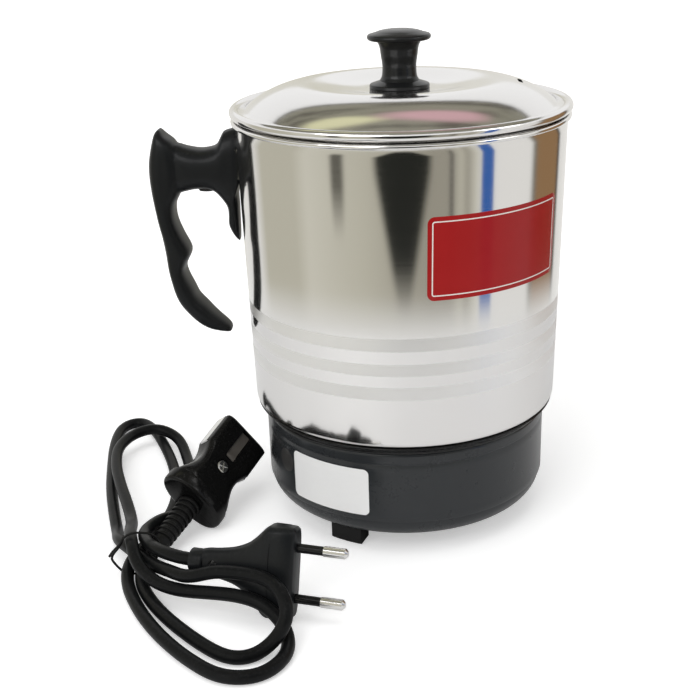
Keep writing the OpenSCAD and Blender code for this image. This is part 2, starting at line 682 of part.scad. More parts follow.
module at_connector() { translate(connector_tip) rotate(connector_turn) children(); }
module rod(x0, x1, r) { translate([x0, 0, 0]) rotate([0, 90, 0]) cylinder(h = x1 - x0, r = r); }
module at_sockets() { for (s = [-1, 1]) translate([0, s * pin_pitch / 2, 0]) children(); }
module side_strips(fit) {
    w = nose_width / 2 + strip_proud - strip_t;
    for (s = [-1, 1]) translate([-strip_length - 1 - fit, s > 0 ? w - fit : -w - strip_t, -strip_w / 2 - fit])
        cube([strip_length + 2 * fit, strip_t + fit, strip_w + 2 * fit]);
}
module connector_shell() {
    w = nose_width / 2;
    t = nose_thickness / 2;
    difference() {
        loft([for (s = connector_stations)
            [for (c = super_ring(w + s[1], t + s[2], s[3], 28)) [s[0], c[0], c[1]]]]);
        at_sockets() rod(-socket_depth - 0.1, 1, socket_r + socket_wall + 0.05);
        translate([connector_screw_x, 0, -t + 1.5]) cylinder(h = 2 * t, r = connector_screw_r + 0.05);
        translate([connector_screw_x, 0, connector_head_z]) cylinder(h = t, r = connector_head_r + 0.3);
        rod(cord_start_x - 0.1 - t, cord_start_x + 0.1, cord_r + 0.1);
        rod(connector_back_x - 1, cord_start_x - t, sleeve_neck_r + 0.05);
        rod(sleeve_flange_x - 0.05, sleeve_flange_x + sleeve_flange_h + 0.05, sleeve_flange_r + 0.05);
        side_strips(0.05);
    }
}
module connector_half(side) {
    reach = 60;
    intersection() {
        connector_shell();
        translate([-reach, -reach / 2, side > 0 ? 0 : -reach]) cube([reach + 1, reach, reach]);
    }
}
module connector_upper() {
    color("black") at_connector() difference() {
        connector_half(1);
        translate([-recess_length - 1, -recess_width / 2, recess_floor])
            cube([recess_length, recess_width, nose_thickness]);
    }
}
module connector_lower() {
    color("black") at_connector() connector_half(-1);
}
module connector_sockets() {
    color("gold") at_connector() at_sockets() difference() {
        rod(-socket_depth, -0.6, socket_r + socket_wall);
        rod(-socket_depth + 1, 1, socket_r);
    }
}
module connector_earths() {
    color("silver") at_connector() side_strips(0);
}
module connector_screw() {
    color("silver") at_connector() translate([connector_screw_x, 0, 0]) {
        translate([0, 0, -nose_thickness / 2 + 1.6])
            cylinder(h = connector_head_z + nose_thickness / 2 - 1.6, r = connector_screw_r);
        translate([0, 0, connector_head_z]) cylinder(h = 1, r = connector_head_r);
    }
}

module cord_sleeve() {
    ribs = floor((sleeve_length - 6) / rib_pitch);
    color("black") at_connector() difference() {
        union() {
            rod(sleeve_flange_x, sleeve_flange_x + sleeve_flange_h, sleeve_flange_r);
            rod(connector_back_x - 0.1, sleeve_flange_x, sleeve_neck_r);
            rod(sleeve_end_x, connector_back_x - 0.1, sleeve_tip_r);
            for (i = [0 : ribs - 1])
                rod(connector_back_x - 2.6 - rib_pitch * i, connector_back_x - 0.1 - rib_pitch * i,
                    sleeve_r - 0.12 * i);
        }
        rod(sleeve_end_x - 1, 0, cord_r + 0.05);
    }
}

// ---- Plug ----
// In its own frame the pins leave the face at x = 0 to +X, one over the other along Z.
plug_turn = [-18, 0, -14];
plug_face = [axis_x - 39.8, -97.2, 17.6];
plug_dir = [cos(plug_turn[2]), sin(plug_turn[2]), 0];
// Stations: place, half width, half thickness and squareness
plug_stations =
    [[0, 16.2, 4.6, 5], [-1, 17, 5.3, 5], [-5, 17, 6.6, 5], [-9.6, 17, 6.8, 5], [-11.4, 16, 6.7, 4.6],
    [-13, 14.3, 6.4, 4.2], [-15.5, 11.8, 5.8, 3.8], [-19, 9, 4.9, 3.4], [-24, 6.8, 4, 3],
        [-30, 5.6, 3.5, 2.8],
    [-34, 5.2, 3.5, 2.6], [-36.5, 4.6, 3.5, 2.4]];
plug_eye_x = -31.5;
plug_eye_r = 1.5;
plug_collar_r = 4.5;
plug_collar_x = -41;
plug_core_r = plug_pin_r - 0.6;
plug_pin_sleeve_r = plug_pin_r - 0.3;
plug_sleeve_length = 10;
plug_grip = 9;
module at_plug() { translate(plug_face) rotate(plug_turn) children(); }
module at_plug_pins() { at_plug() for (s = [-1, 1]) translate([0, 0, s * plug_pitch / 2]) children(); }
module plug_body() {
    color("black") {
        difference() {
            at_plug() loft([for (s = plug_stations)
                [for (c = super_ring(s[2], s[1], s[3], 28)) [s[0], c[0], c[1]]]]);
            at_plug() translate([plug_eye_x, 10, 0]) rotate([90, 0, 0]) cylinder(h = 20, r = plug_eye_r);
            at_plug_pins() rod(-plug_grip - 0.1, 1, plug_core_r + 0.05);
        }
        at_plug() rod(plug_collar_x, -36, plug_collar_r);
    }
}
module plug_pins() {
    tip = 1;
    color("silver") at_plug_pins() {
        rod(-plug_grip, plug_sleeve_length, plug_core_r);
        rod(plug_sleeve_length, plug_pin_length - tip, plug_pin_r);
        translate([plug_pin_length - tip, 0, 0]) rotate([0, 90, 0])
            cylinder(h = tip, r1 = plug_pin_r, r2 = plug_pin_r - tip);
    }
}
module plug_pin_sleeves() {
    color("black") at_plug_pins() difference() {
        rod(0.05, plug_sleeve_length - 0.05, plug_pin_sleeve_r);
        rod(-1, plug_sleeve_length + 1, plug_core_r + 0.05);
    }
}

// ---- Cord ----
// Route from the sleeve to the plug, as places beside the axis of the cup: four loops that cross at the tie
cord_route = [
    [-103, -70, 3.7], [-101.5, -80, 2.6], [-96, -91, 2.6], [-88.5, -101.5, 2.6], [-79.5, -111.5, 2.6],
    [-70, -120.5, 2.6], [-61, -126.5, 2.6], [-53, -125.5, 2.6], [-46.5, -121.5, 5.5], [-42, -120, 12],
    [-41.5, -116, 16.5], [-46, -108.5, 20], [-52.5, -103.6, 20.5], [-60, -100.2, 19.7], [-70, -97, 18.4],
    [-80, -94.8, 14.7], [-88, -88, 13], [-95, -80.5, 10.5], [-104, -71, 9.8], [-114.5, -57, 7.6],
    [-119.5, -42, 2.6], [-125, -25, 2.6], [-131, -4, 2.6], [-136, 19, 2.6], [-140, 42, 2.6],
    [-140, 60, 2.6], [-132, 66, 2.6], [-123, 55, 2.6], [-115, 38, 2.6], [-108, 20, 2.6], [-103, 2, 2.6],
    [-100, -16, 2.6], [-101, -34, 2.6], [-105, -50, 2.6], [-108.5, -67, 3.9], [-107.5, -78, 2.6],
    [-102, -91.5, 2.6], [-94.5, -104.5, 2.6], [-85.5, -116.5, 2.6], [-74.5, -128, 2.6],
    [-62.5, -136.5, 2.6], [-50, -136, 2.6], [-42.5, -127, 2.6], [-41.5, -117, 2.8], [-44.5, -111, 6.5],
    [-52, -106.6, 11.3], [-62, -102.6, 12], [-73, -98.5, 10.5], [-84, -94.5, 9], [-94, -89.5, 9.5],
    [-102, -81.5, 12.5], [-106, -71, 15.2], [-109.5, -59, 13], [-112.5, -44, 8.5], [-118, -28, 8],
    [-125, -10, 8], [-131, 8, 8], [-134, 26, 8], [-130, 40, 8.2], [-120, 46, 8.4], [-109, 41, 5.5],
    [-102, 25, 2.6], [-97, 7, 2.6], [-94, -10, 2.6], [-94.6, -28, 4], [-100.8, -43, 9],
    [-104.4, -56, 11.2], [-101.5, -67, 13.5], [-97, -75, 15.5], [-91, -81.5, 17]];
module cord() {
    points = concat([connector_tip + cord_start_x * connector_dir,
        connector_tip + (sleeve_end_x - 2) * connector_dir],
        [for (p = cord_route) [axis_x + p[0], p[1], p[2]]],
        [plug_face + (plug_collar_x - 4) * plug_dir, plug_face + plug_collar_x * plug_dir]);
    color("black") tube(points, cord_r, 10);
}
// Wire tie round the crossing, with an ear at its left, as places beside the axis of the cup
tie_r = 0.5;
tie_route = [
    [-115.4, -71.2, 9], [-113.6, -71.5, 11.6], [-111, -71.4, 14.2], [-109.2, -71, 17], [-106, -70.5, 18.8],
    [-102, -70, 18.8], [-98, -70, 18], [-95.9, -70, 15.5], [-96, -70, 12], [-97.4, -70, 7], [-98.6, -70, 2.6],
    [-100.3, -70, 0.65], [-105, -70, 0.6], [-109.8, -70, 0.65], [-112.2, -70, 2.8], [-113.8, -70, 5],
        [-114.9, -70, 7.2],
    [-114, -70, 9.4], [-111.9, -70, 12], [-110.3, -69.8, 14.6], [-109.6, -69.4, 16.6]];
module twist_tie() {
    color("black") on_axis() tube(spline(tie_route, 2), tie_r, 6);
}

cup();
handle_bracket();
handle();
handle_screw();
lid();
lid_ring();
lid_knob();
knob_washer();
knob_screw();
collar_ring();
base_housing();
bottom_cover();
feet();
cover_screws();
heat_plate();
heating_element();
insulation_sheet();
clamp_plate();
centre_nut();
thermostat();
thermal_fuse();
inlet_block();
inlet_pins();
earth_contacts();
inner_leads();
connector_upper();
connector_lower();
connector_sockets();
connector_earths();
connector_screw();
cord_sleeve();
cord();
twist_tie();
plug_body();
plug_pins();
plug_pin_sleeves();
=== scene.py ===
import bpy, bmesh, json, math
from mathutils import Euler, Matrix, Vector


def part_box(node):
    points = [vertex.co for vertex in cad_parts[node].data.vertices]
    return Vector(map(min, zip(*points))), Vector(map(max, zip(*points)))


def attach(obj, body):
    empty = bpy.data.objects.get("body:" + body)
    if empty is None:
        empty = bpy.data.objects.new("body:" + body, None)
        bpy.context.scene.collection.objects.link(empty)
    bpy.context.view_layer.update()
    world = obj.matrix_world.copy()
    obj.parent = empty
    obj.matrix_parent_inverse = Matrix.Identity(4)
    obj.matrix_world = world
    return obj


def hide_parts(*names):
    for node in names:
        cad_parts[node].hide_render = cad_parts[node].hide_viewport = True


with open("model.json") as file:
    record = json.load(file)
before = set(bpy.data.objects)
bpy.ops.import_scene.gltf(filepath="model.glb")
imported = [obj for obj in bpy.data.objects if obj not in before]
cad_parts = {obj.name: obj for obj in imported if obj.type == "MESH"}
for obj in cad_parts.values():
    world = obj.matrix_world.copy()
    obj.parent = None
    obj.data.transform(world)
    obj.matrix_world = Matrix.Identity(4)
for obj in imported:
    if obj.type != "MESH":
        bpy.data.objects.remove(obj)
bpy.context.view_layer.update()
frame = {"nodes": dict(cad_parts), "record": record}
nodes = frame["nodes"]
mm = 0.001


def centreOf(node):
    low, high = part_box(node)
    return [(a + b) / 2 for a, b in zip(low, high)]


def topOf(node):
    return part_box(node)[1][2] / mm


def footOf(node):
    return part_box(node)[0][2] / mm


def radiusOf(node):
    low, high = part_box(node)
    return (high[1] - low[1]) / 2 / mm


axisX = centreOf("cup")[0] / mm  # the axis of the cup, in millimetres
scene = bpy.context.scene
scene.view_settings.view_transform = "Standard"

# camera: a short tele lens a little above the lid, looking down at the cup
cameraSettings = dict(distance=449.3, height=242.3, down=21.41, roll=-1.89, turn=-2.89, lens=58.47)


def makeCamera(s):
    down, turn, roll = (math.radians(s[k]) for k in ("down", "turn", "roll"))
    ahead = Vector((math.sin(turn) * math.cos(down), math.cos(turn) * math.cos(down), -math.sin(down)))
    side = ahead.cross(Vector((0, 0, 1))).normalized()
    over = side.cross(ahead)
    right = math.cos(roll) * side + math.sin(roll) * over
    up = -math.sin(roll) * side + math.cos(roll) * over
    data = bpy.data.cameras.new("camera")
    data.lens = s["lens"]
    data.sensor_width = 36
    camera = bpy.data.objects.new("camera", data)
    scene.collection.objects.link(camera)
    turnMatrix = Matrix((right, up, -ahead)).transposed().to_4x4()
    camera.matrix_world = Matrix.Translation(Vector((axisX, -s["distance"], s["height"])) * mm) @ turnMatrix
    scene.camera = camera


makeCamera(cameraSettings)


# mesh helpers, all in millimetres and in the frame's own place
def addObject(name, vertices, faces, sharpAngle=40):
    mesh = bpy.data.meshes.new(name)
    mesh.from_pydata([Vector(v) * mm for v in vertices], [], faces)
    mesh.update()
    piece = bpy.data.objects.new(name, mesh)
    scene.collection.objects.link(piece)
    finishNormals(piece, sharpAngle)
    return piece


def finishNormals(piece, sharpAngle=40, recalculate=True):
    work = bmesh.new()
    work.from_mesh(piece.data)
    bmesh.ops.remove_doubles(work, verts=work.verts, dist=1e-7)
    if recalculate:
        bmesh.ops.recalc_face_normals(work, faces=work.faces)
    for face in work.faces:
        face.smooth = True
    for edge in work.edges:
        edge.smooth = not (edge.is_manifold and edge.calc_face_angle(0) > math.radians(sharpAngle))
    work.to_mesh(piece.data)
    work.free()


def arc(x, y, r, a0, a1, n):
    angles = [math.radians(a0 + (a1 - a0) * i / n) for i in range(n + 1)]
    return [(x + r * math.cos(a), y + r * math.sin(a)) for a in angles]


def spline(points, steps):
    points = [Vector(p) for p in points]
    first, last = 2 * points[0] - points[1], 2 * points[-1] - points[-2]
    p = [first] + points + [last]
    curve = []
    for i in range(1, len(p) - 2):
        for k in range(steps):
            t = k / steps
            a, b, c, d = p[i - 1:i + 3]
            curve.append(0.5 * (2 * b + (c - a) * t + (2 * a - 5 * b + 4 * c - d) * t * t
                                + (3 * b - a - 3 * c + d) * t ** 3))
    return curve + [points[-1]]


def lathe(name, profile, segments=240, sharpAngle=40):
    vertices, rings = [], []
    for r, z in profile:
        if r < 1e-6:
            rings.append([len(vertices)] * segments)
            vertices.append((axisX, 0, z))
        else:
            rings.append(range(len(vertices), len(vertices) + segments))
            for k in range(segments):
                a = 2 * math.pi * k / segments
                vertices.append((axisX + r * math.cos(a), r * math.sin(a), z))
    faces = []
    for i in range(len(rings)):
        low, high = rings[i], rings[(i + 1) % len(rings)]
        for k in range(segments):
            n = (k + 1) % segments
            face = list(dict.fromkeys((low[k], low[n], high[n], high[k])))
            if len(face) > 2:
                faces.append(face)
    return addObject(name, vertices, faces, sharpAngle)


def ringFaces(count, sides, closed=False):
    rows = count if closed else count - 1
    return [(i * sides + j, i * sides + (j + 1) % sides, (i + 1) % count * sides + (j + 1) % sides,
             (i + 1) % count * sides + j) for i in range(rows) for j in range(sides)]


def superRing(a, b, k, n):
    def share(v):
        return math.copysign(abs(v) ** (2 / k), v)
    turns = [2 * math.pi * (i + 0.5) / n for i in range(n)]
    return [(a * share(math.cos(t)), b * share(math.sin(t))) for t in turns]


def loft(name, rings, sharpAngle=40):
    n = len(rings[0])
    vertices = [p for ring in rings for p in ring]
    faces = ringFaces(len(rings), n)
    for start in (0, (len(rings) - 1) * n):  # ends as a fan round a middle point
        middle = sum((Vector(vertices[start + j]) for j in range(n)), Vector()) / n
        vertices.append(middle)
        faces += [(start + j, start + (j + 1) % n, len(vertices) - 1) for j in range(n)]
    return addObject(name, vertices, faces, sharpAngle)


def turnedX(name, profile, sides, sharpAngle=40):
    # a closed profile of (radius, x) turned round the X axis
    turns = [2 * math.pi * k / sides for k in range(sides)]
    vertices = [(x, r * math.cos(a), r * math.sin(a)) for r, x in profile for a in turns]
    return addObject(name, vertices, ringFaces(len(profile), sides, True), sharpAngle)


def boxPiece(name, low, high):
    corners = [(x, y, z) for x in (low[0], high[0]) for y in (low[1], high[1]) for z in (low[2], high[2])]
    faces = [(0, 1, 3, 2), (4, 6, 7, 5), (0, 4, 5, 1), (2, 3, 7, 6), (0, 2, 6, 4), (1, 5, 7, 3)]
    return addObject(name, corners, faces)


def bake(piece):
    done = bpy.data.meshes.new_from_object(piece.evaluated_get(bpy.context.evaluated_depsgraph_get()))
    piece.modifiers.clear()
    old, piece.data = piece.data, done
    bpy.data.meshes.remove(old)


def carve(piece, *cutters, operation="DIFFERENCE", sharpAngle=40):
    for cutter in cutters:
        change = piece.modifiers.new("carve", "BOOLEAN")
        change.object, change.operation, change.solver = cutter, operation, "EXACT"
    bake(piece)
    for cutter in cutters:
        bpy.data.objects.remove(cutter)
    finishNormals(piece, sharpAngle)


def place(piece, where):
    piece.data.transform(where)
    piece.data.update()
    return piece


def join(name, *pieces):
    work = bmesh.new()
    for piece in pieces:
        work.from_mesh(piece.data)
        bpy.data.objects.remove(piece)
    mesh = bpy.data.meshes.new(name)
    work.to_mesh(mesh)
    work.free()
    whole = bpy.data.objects.new(name, mesh)
    scene.collection.objects.link(whole)
    return whole


print("helpers ready")

# cord set: where the connector and the plug lie
connectorPose = dict(tip=(axisX - 71.7, 1.05, 25.5), turn=(55, -17, 65))
plugPose = dict(tip=(axisX - 39.8, -97.2, 17.6), turn=(-18, 0, -14))


def poseMatrix(s):
    turn = Euler([math.radians(a) for a in s["turn"]], "XYZ").to_matrix().to_4x4()
    return Matrix.Translation(Vector(s["tip"]) * mm) @ turn


connectorMatrix = poseMatrix(connectorPose)
plugMatrix = poseMatrix(plugPose)

cordSettings = dict(diameter=5.0, startX=-31.0, sleeveEndX=-72.4, collarX=-41.0, collarRun=4.0, sides=8,
                    steps=6, step=1.5, easing=10)
cordRoute = [
    (-103, -70, 3.7), (-101.5, -80, 2.6), (-96, -91, 2.6), (-88.5, -101.5, 2.6), (-79.5, -111.5, 2.6),
    (-70, -120.5, 2.6), (-61, -126.5, 2.6), (-53, -125.5, 2.6), (-46.5, -121.5, 5.5), (-42, -120, 12),
    (-41.5, -116, 16.5), (-46, -108.5, 20), (-52.5, -103.6, 20.5), (-60, -100.2, 19.7), (-70, -97, 18.4),
    (-80, -94.8, 14.7), (-88, -88, 13), (-95, -80.5, 10.5), (-104, -71, 9.8), (-114.5, -57, 7.6),
    (-119.5, -42, 2.6), (-125, -25, 2.6), (-131, -4, 2.6), (-136, 19, 2.6), (-140, 42, 2.6),
    (-140, 60, 2.6), (-132, 66, 2.6), (-123, 55, 2.6), (-115, 38, 2.6), (-108, 20, 2.6), (-103, 2, 2.6),
    (-100, -16, 2.6), (-101, -34, 2.6), (-105, -50, 2.6), (-108.5, -67, 3.9), (-107.5, -78, 2.6),
    (-102, -91.5, 2.6), (-94.5, -104.5, 2.6), (-85.5, -116.5, 2.6), (-74.5, -128, 2.6),
    (-62.5, -136.5, 2.6), (-50, -136, 2.6), (-42.5, -127, 2.6), (-41.5, -117, 2.8), (-44.5, -111, 6.5),
    (-52, -106.6, 11.3), (-62, -102.6, 12), (-73, -98.5, 10.5), (-84, -94.5, 9), (-94, -89.5, 9.5),
    (-102, -81.5, 12.5), (-106, -71, 15.2), (-109.5, -59, 13), (-112.5, -44, 8.5), (-118, -28, 8),
    (-125, -10, 8), (-131, 8, 8), (-134, 26, 8), (-130, 40, 8.2), (-120, 46, 8.4), (-109, 41, 5.5),
    (-102, 25, 2.6), (-97, 7, 2.6), (-94, -10, 2.6), (-94.6, -28, 4), (-100.8, -43, 9),
    (-104.4, -56, 11.2), (-101.5, -67, 13.5), (-97, -75, 15.5), (-91, -81.5, 17)]


def smoothed(route, s):
    # even steps along the cord, eased a little, and nowhere lower than the table
    gone = [0]
    for a, b in zip(route, route[1:]):
        gone.append(gone[-1] + (b - a).length)
    count = int(gone[-1] / (s["step"] * mm))
    even, i = [], 0
    for k in range(count + 1):
        along = gone[-1] * k / count
        while i < len(gone) - 2 and gone[i + 1] < along:
            i += 1
        even.append(route[i].lerp(route[i + 1], (along - gone[i]) / max(gone[i + 1] - gone[i], 1e-9)))
    for turn in range(s["easing"]):
        eased = [(a + 2 * b + c) / 4 for a, b, c in zip(even, even[1:], even[2:])]
        even = even[:1] + eased + even[-1:]
    for point in even:
        point.z = max(point.z, s["diameter"] / 2 * mm)
    return even


def makeCord(s):
    start = [connectorMatrix @ (Vector((x, 0, 0)) * mm) for x in (s["startX"], s["sleeveEndX"])]
    middle = [Vector((axisX + x, y, z)) * mm for x, y, z in cordRoute]
    end = [plugMatrix @ (Vector((x, 0, 0)) * mm) for x in (s["collarX"] - s["collarRun"], s["collarX"])]
    route = smoothed(spline(start + middle + end, s["steps"]), s)
    curve = bpy.data.curves.new("cordTube", "CURVE")
    curve.dimensions = "3D"
    curve.bevel_depth = s["diameter"] / 2 * mm
    curve.bevel_resolution = s["sides"]
    curve.use_fill_caps = True
    line = curve.splines.new("POLY")
    line.points.add(len(route) - 1)
    for point, where in zip(line.points, route):
        point.co = (*where, 1)
    cord = bpy.data.objects.new("cordTube", curve)
    scene.collection.objects.link(cord)
    length = sum((b - a).length for a, b in zip(route, route[1:]))
    return cord, route, length


cordTube, cordLine, cordLength = makeCord(cordSettings)
print("cord laid,", round(cordLength, 3), "m")

# steel cup
cupSettings = dict(wall=0.6, taper=2.2, bend=2.5, bead=1.0, rows=40, sides=320, sharp=50)
cupFoot, cupTop = footOf("cup"), topOf("cup")
rimRadius = radiusOf("cup")
cupRadius = rimRadius - 2 * cupSettings["bead"] + cupSettings["wall"]


def cupRadiusAt(z):
    return cupRadius - cupSettings["taper"] * (cupTop - z) / (cupTop - cupFoot)


def makeCup(s):
    wall, bend, bead, rows = s["wall"], s["bend"], s["bead"], s["rows"]
    beadX, beadZ = rimRadius - bead, cupTop - bead
    bendX = cupRadiusAt(cupFoot) - bend
    meet = 180 + math.degrees(math.acos((beadX - cupRadius) / bead))
    outer = [(0, cupFoot)] + arc(bendX, cupFoot + bend, bend, -90, 0, 12)
    levels = [cupFoot + bend + (beadZ - bead - cupFoot - bend) * i / rows for i in range(1, rows + 1)]
    outer += [(cupRadiusAt(z), z) for z in levels]
    rim = arc(beadX, beadZ, bead, meet, 540, 22)
    inner = [(cupRadiusAt(z) - wall, z) for z in reversed(levels)]
    floor = arc(bendX, cupFoot + bend, bend - wall, 0, -90, 10) + [(0, cupFoot + wall)]
    return lathe("cupShell", outer + rim + inner + floor, s["sides"], s["sharp"])


cupShell = makeCup(cupSettings)

# lid
lidSettings = dict(wall=0.6, curl=1.9, rise=0.6, flat=3.0, crown=10.3, fall=5, dish=4.0, dishRadius=44.0,
                   seat=12.2, hole=2.2, slotPlace=46.5, slotLength=9.0, slotWidth=1.8, slotOver=4, rows=90,
                   sides=320, sharp=50)
lidRadius = radiusOf("lid")
curlZ = footOf("lid") + lidSettings["curl"]
flatZ = curlZ + lidSettings["rise"]
crownRadius = lidRadius - 2 * lidSettings["curl"] - lidSettings["flat"] + 1


def crownZ(r, s=lidSettings):
    reach = min(max((r - s["seat"]) / (s["dishRadius"] - s["seat"]), 0), 1)
    crown = s["crown"] * (1 - (r / crownRadius) ** s["fall"])
    return flatZ + crown - s["dish"] * (1 + math.cos(math.pi * reach)) / 2


def slotCutter(s):
    half, r = s["slotLength"] / 2, s["slotWidth"] / 2
    x = axisX + s["slotPlace"]
    ring = arc(x, half - r, r, 0, 180, 12) + arc(x, r - half, r, 180, 360, 12)
    levels = (curlZ, flatZ + s["crown"] + s["slotOver"])
    return loft("slotCutter", [[(px, py, z) for px, py in ring] for z in levels])


def makeLid(s):
    wall, curl, rows = s["wall"], s["curl"], s["rows"]
    curlX = lidRadius - curl
    radii = [s["hole"]] + [s["seat"] + (crownRadius - s["seat"]) * i / rows for i in range(rows + 1)]
    top = [(r, crownZ(r)) for r in radii]
    meet = 180 - math.degrees(math.asin(s["rise"] / curl))
    rolled = arc(curlX, curlZ, curl, meet, -90, 26) + arc(curlX, curlZ, curl - wall, -90, 180, 24)
    under = [(r, crownZ(r) - wall) for r in reversed(radii)]
    lid = lathe("lidShell", top + rolled + under, s["sides"], s["sharp"])
    carve(lid, slotCutter(s), sharpAngle=s["sharp"])
    return lid


lidShell = makeLid(lidSettings)

# knob on the lid
knobSettings = dict(foot=11.7, footHeight=2.7, footEdge=0.3, footRound=0.8, waist=6.6, cap=12.3,
                    capHeight=4.2, edge=1.2, dome=1.7, domeIn=1.8, domePower=3, domeRows=12, height=22.0,
                    stemSteps=6, sides=128, sharp=35,
                    stem=((1.1, 0), (0.2, 0.13), (0, 0.38), (0.5, 0.63), (1, 0.85), (2.1, 1)))


def makeKnob(s):
    low = footOf("lid_knob")
    stemHeight = s["height"] - s["footHeight"] - s["capHeight"]
    stem = [(s["waist"] + r, s["footHeight"] + stemHeight * h, 0) for r, h in s["stem"]]
    rim = s["height"] - s["dome"]
    sharp, big = s["footEdge"], s["footRound"]
    profile = [(0, 0)] + arc(s["foot"] - sharp, sharp, sharp, -90, 0, 4)
    profile += arc(s["foot"] - big, big, big, 0, 70, 8)
    profile += [(p.x, p.y) for p in spline(stem, s["stemSteps"])]
    profile += arc(s["cap"] - s["edge"], rim - s["edge"], s["edge"], -80, 60, 14)
    domeR, rows = s["cap"] - s["domeIn"], s["domeRows"]
    for i in range(rows - 1, -1, -1):
        profile.append((domeR * i / rows, rim + s["dome"] * (1 - (i / rows) ** s["domePower"])))
    return lathe("knobBody", [(r, low + z) for r, z in profile], s["sides"], s["sharp"])


knobBody = makeKnob(knobSettings)

# base, collar
baseSettings = dict(wall=2.5, round=8.0, step=0.6, stepRise=0.75, stepLine=((1, 0.4), (0.25, 0.6)), edge=1.2,
                    lineDown=5.0, lineDepth=0.3, lineWidth=0.4, lineLead=0.75, cover=1.5, coverGap=0.2,
                    coverLip=2.2, inletFlange=3.0, inletGap=0.2, inletSquare=9, inletSides=60, inletOver=9,
                    rows=10, sides=280, sharp=35)
collarSettings = dict(topIn=0.5, topFlat=0.8, topEdge=0.6, lowOut=0.7, lowEdge=1.0, plateGap=0.8,
                      tongueGap=0.15, tongueDepth=3.0, sides=280, sharp=35)
baseFoot, baseTop = footOf("base_housing"), topOf("base_housing")
baseRadius = radiusOf("base_housing")


def makeBase(s):
    wall, big, edge, rows = s["wall"], s["round"], s["edge"], s["rows"]
    coverRadius = radiusOf("bottom_cover") + s["coverGap"]
    x, z = baseRadius - big, baseFoot + big
    rise, deep, lineZ = s["stepRise"], s["lineDepth"], baseTop - s["lineDown"]
    wallLow, wallHigh = z + rise, lineZ - s["lineLead"]
    profile = [(coverRadius, baseFoot)] + arc(x - s["step"], z, big, -88, 0, 24)
    profile += [(baseRadius - s["step"] * share, z + up * rise) for share, up in s["stepLine"]]
    profile += [(baseRadius, wallLow + (wallHigh - wallLow) * i / rows) for i in range(rows + 1)]
    profile += [(baseRadius - deep, lineZ), (baseRadius - deep, lineZ + s["lineWidth"]),
                (baseRadius, lineZ + s["lineWidth"] + deep)]
    profile += arc(baseRadius - edge, baseTop - edge, edge, 0, 90, 8)
    profile += [(baseRadius - wall, baseTop)] + arc(x, z, big - wall, 0, -88, 16)
    lip = coverRadius - s["coverLip"]
    profile += [(lip, baseFoot + wall), (lip, baseFoot + s["cover"]), (coverRadius, baseFoot + s["cover"])]
    base = lathe("baseShell", profile, s["sides"], s["sharp"])
    low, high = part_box("inlet_block")
    inletZ = (low[2] + high[2]) / 2 / mm
    halfW = (high[0] - low[0]) / 2 / mm - s["inletFlange"] + s["inletGap"]
    halfH = (high[2] - low[2]) / 2 / mm + s["inletGap"]
    ring = superRing(halfW, halfH, s["inletSquare"], s["inletSides"])
    depths = (baseRadius / 2, baseRadius + s["inletOver"])
    cutter = loft("inletCutter", [[(axisX + a, y, inletZ + b) for a, b in ring] for y in depths])
    carve(base, cutter, sharpAngle=s["sharp"])
    return base


def makeCollar(s):
    top, topR = topOf("collar_ring"), cupRadiusAt(cupFoot) - s["topIn"]
    low, lowR = baseTop, baseRadius + s["lowOut"]
    innerR = radiusOf("heat_plate") + s["plateGap"]
    tongueR = baseRadius - baseSettings["wall"] - s["tongueGap"]
    topEdge, lowEdge = s["topEdge"], s["lowEdge"]
    profile = [(innerR, top), (topR - s["topFlat"], top)]
    profile += arc(topR - topEdge, top - topEdge, topEdge, 90, 30, 6)
    profile += arc(lowR - lowEdge, low + lowEdge, lowEdge, 10, -90, 8)
    profile += [(tongueR, low), (tongueR, low - s["tongueDepth"]), (innerR, low - s["tongueDepth"])]
    return lathe("collarShell", profile, s["sides"], s["sharp"])


baseShell = makeBase(baseSettings)
collarShell = makeCollar(collarSettings)
print("cup, lid, knob and base made")

# handle: stations give the outer and the inner edge of the grip, then its thickness as a share
handleSettings = dict(reach=36.0, height=86.0, thickness=17.0, square=2.8, sides=40, steps=4, voxel=0.5,
                      smooth=16, cupGap=0.08, cupSides=360, cupCore=0.1, cupBelow=5, sharp=50)
gripStations = [
    (0.853, 1, 0.83, 0.992, 0.4), (0.903, 0.978, 0.783, 0.967, 0.72), (0.947, 0.922, 0.68, 0.93, 0.92),
    (0.986, 0.852, 0.62, 0.84, 1), (0.997, 0.78, 0.62, 0.76, 1), (0.986, 0.709, 0.68, 0.69, 1),
    (0.967, 0.647, 0.74, 0.64, 1), (0.939, 0.564, 0.742, 0.57, 1), (0.908, 0.49, 0.68, 0.493, 1),
    (0.889, 0.415, 0.6, 0.417, 1), (0.877, 0.36, 0.655, 0.362, 1), (0.866, 0.32, 0.684, 0.328, 1),
    (0.85, 0.279, 0.66, 0.285, 1), (0.817, 0.212, 0.6, 0.23, 1), (0.769, 0.16, 0.553, 0.185, 0.98),
    (0.683, 0.108, 0.46, 0.142, 0.94), (0.575, 0.06, 0.39, 0.108, 0.88), (0.464, 0.028, 0.31, 0.075, 0.78),
    (0.347, 0.012, 0.25, 0.053, 0.66), (0.26, 0.004, 0.205, 0.032, 0.52), (0.208, 0, 0.192, 0.015, 0.36)]
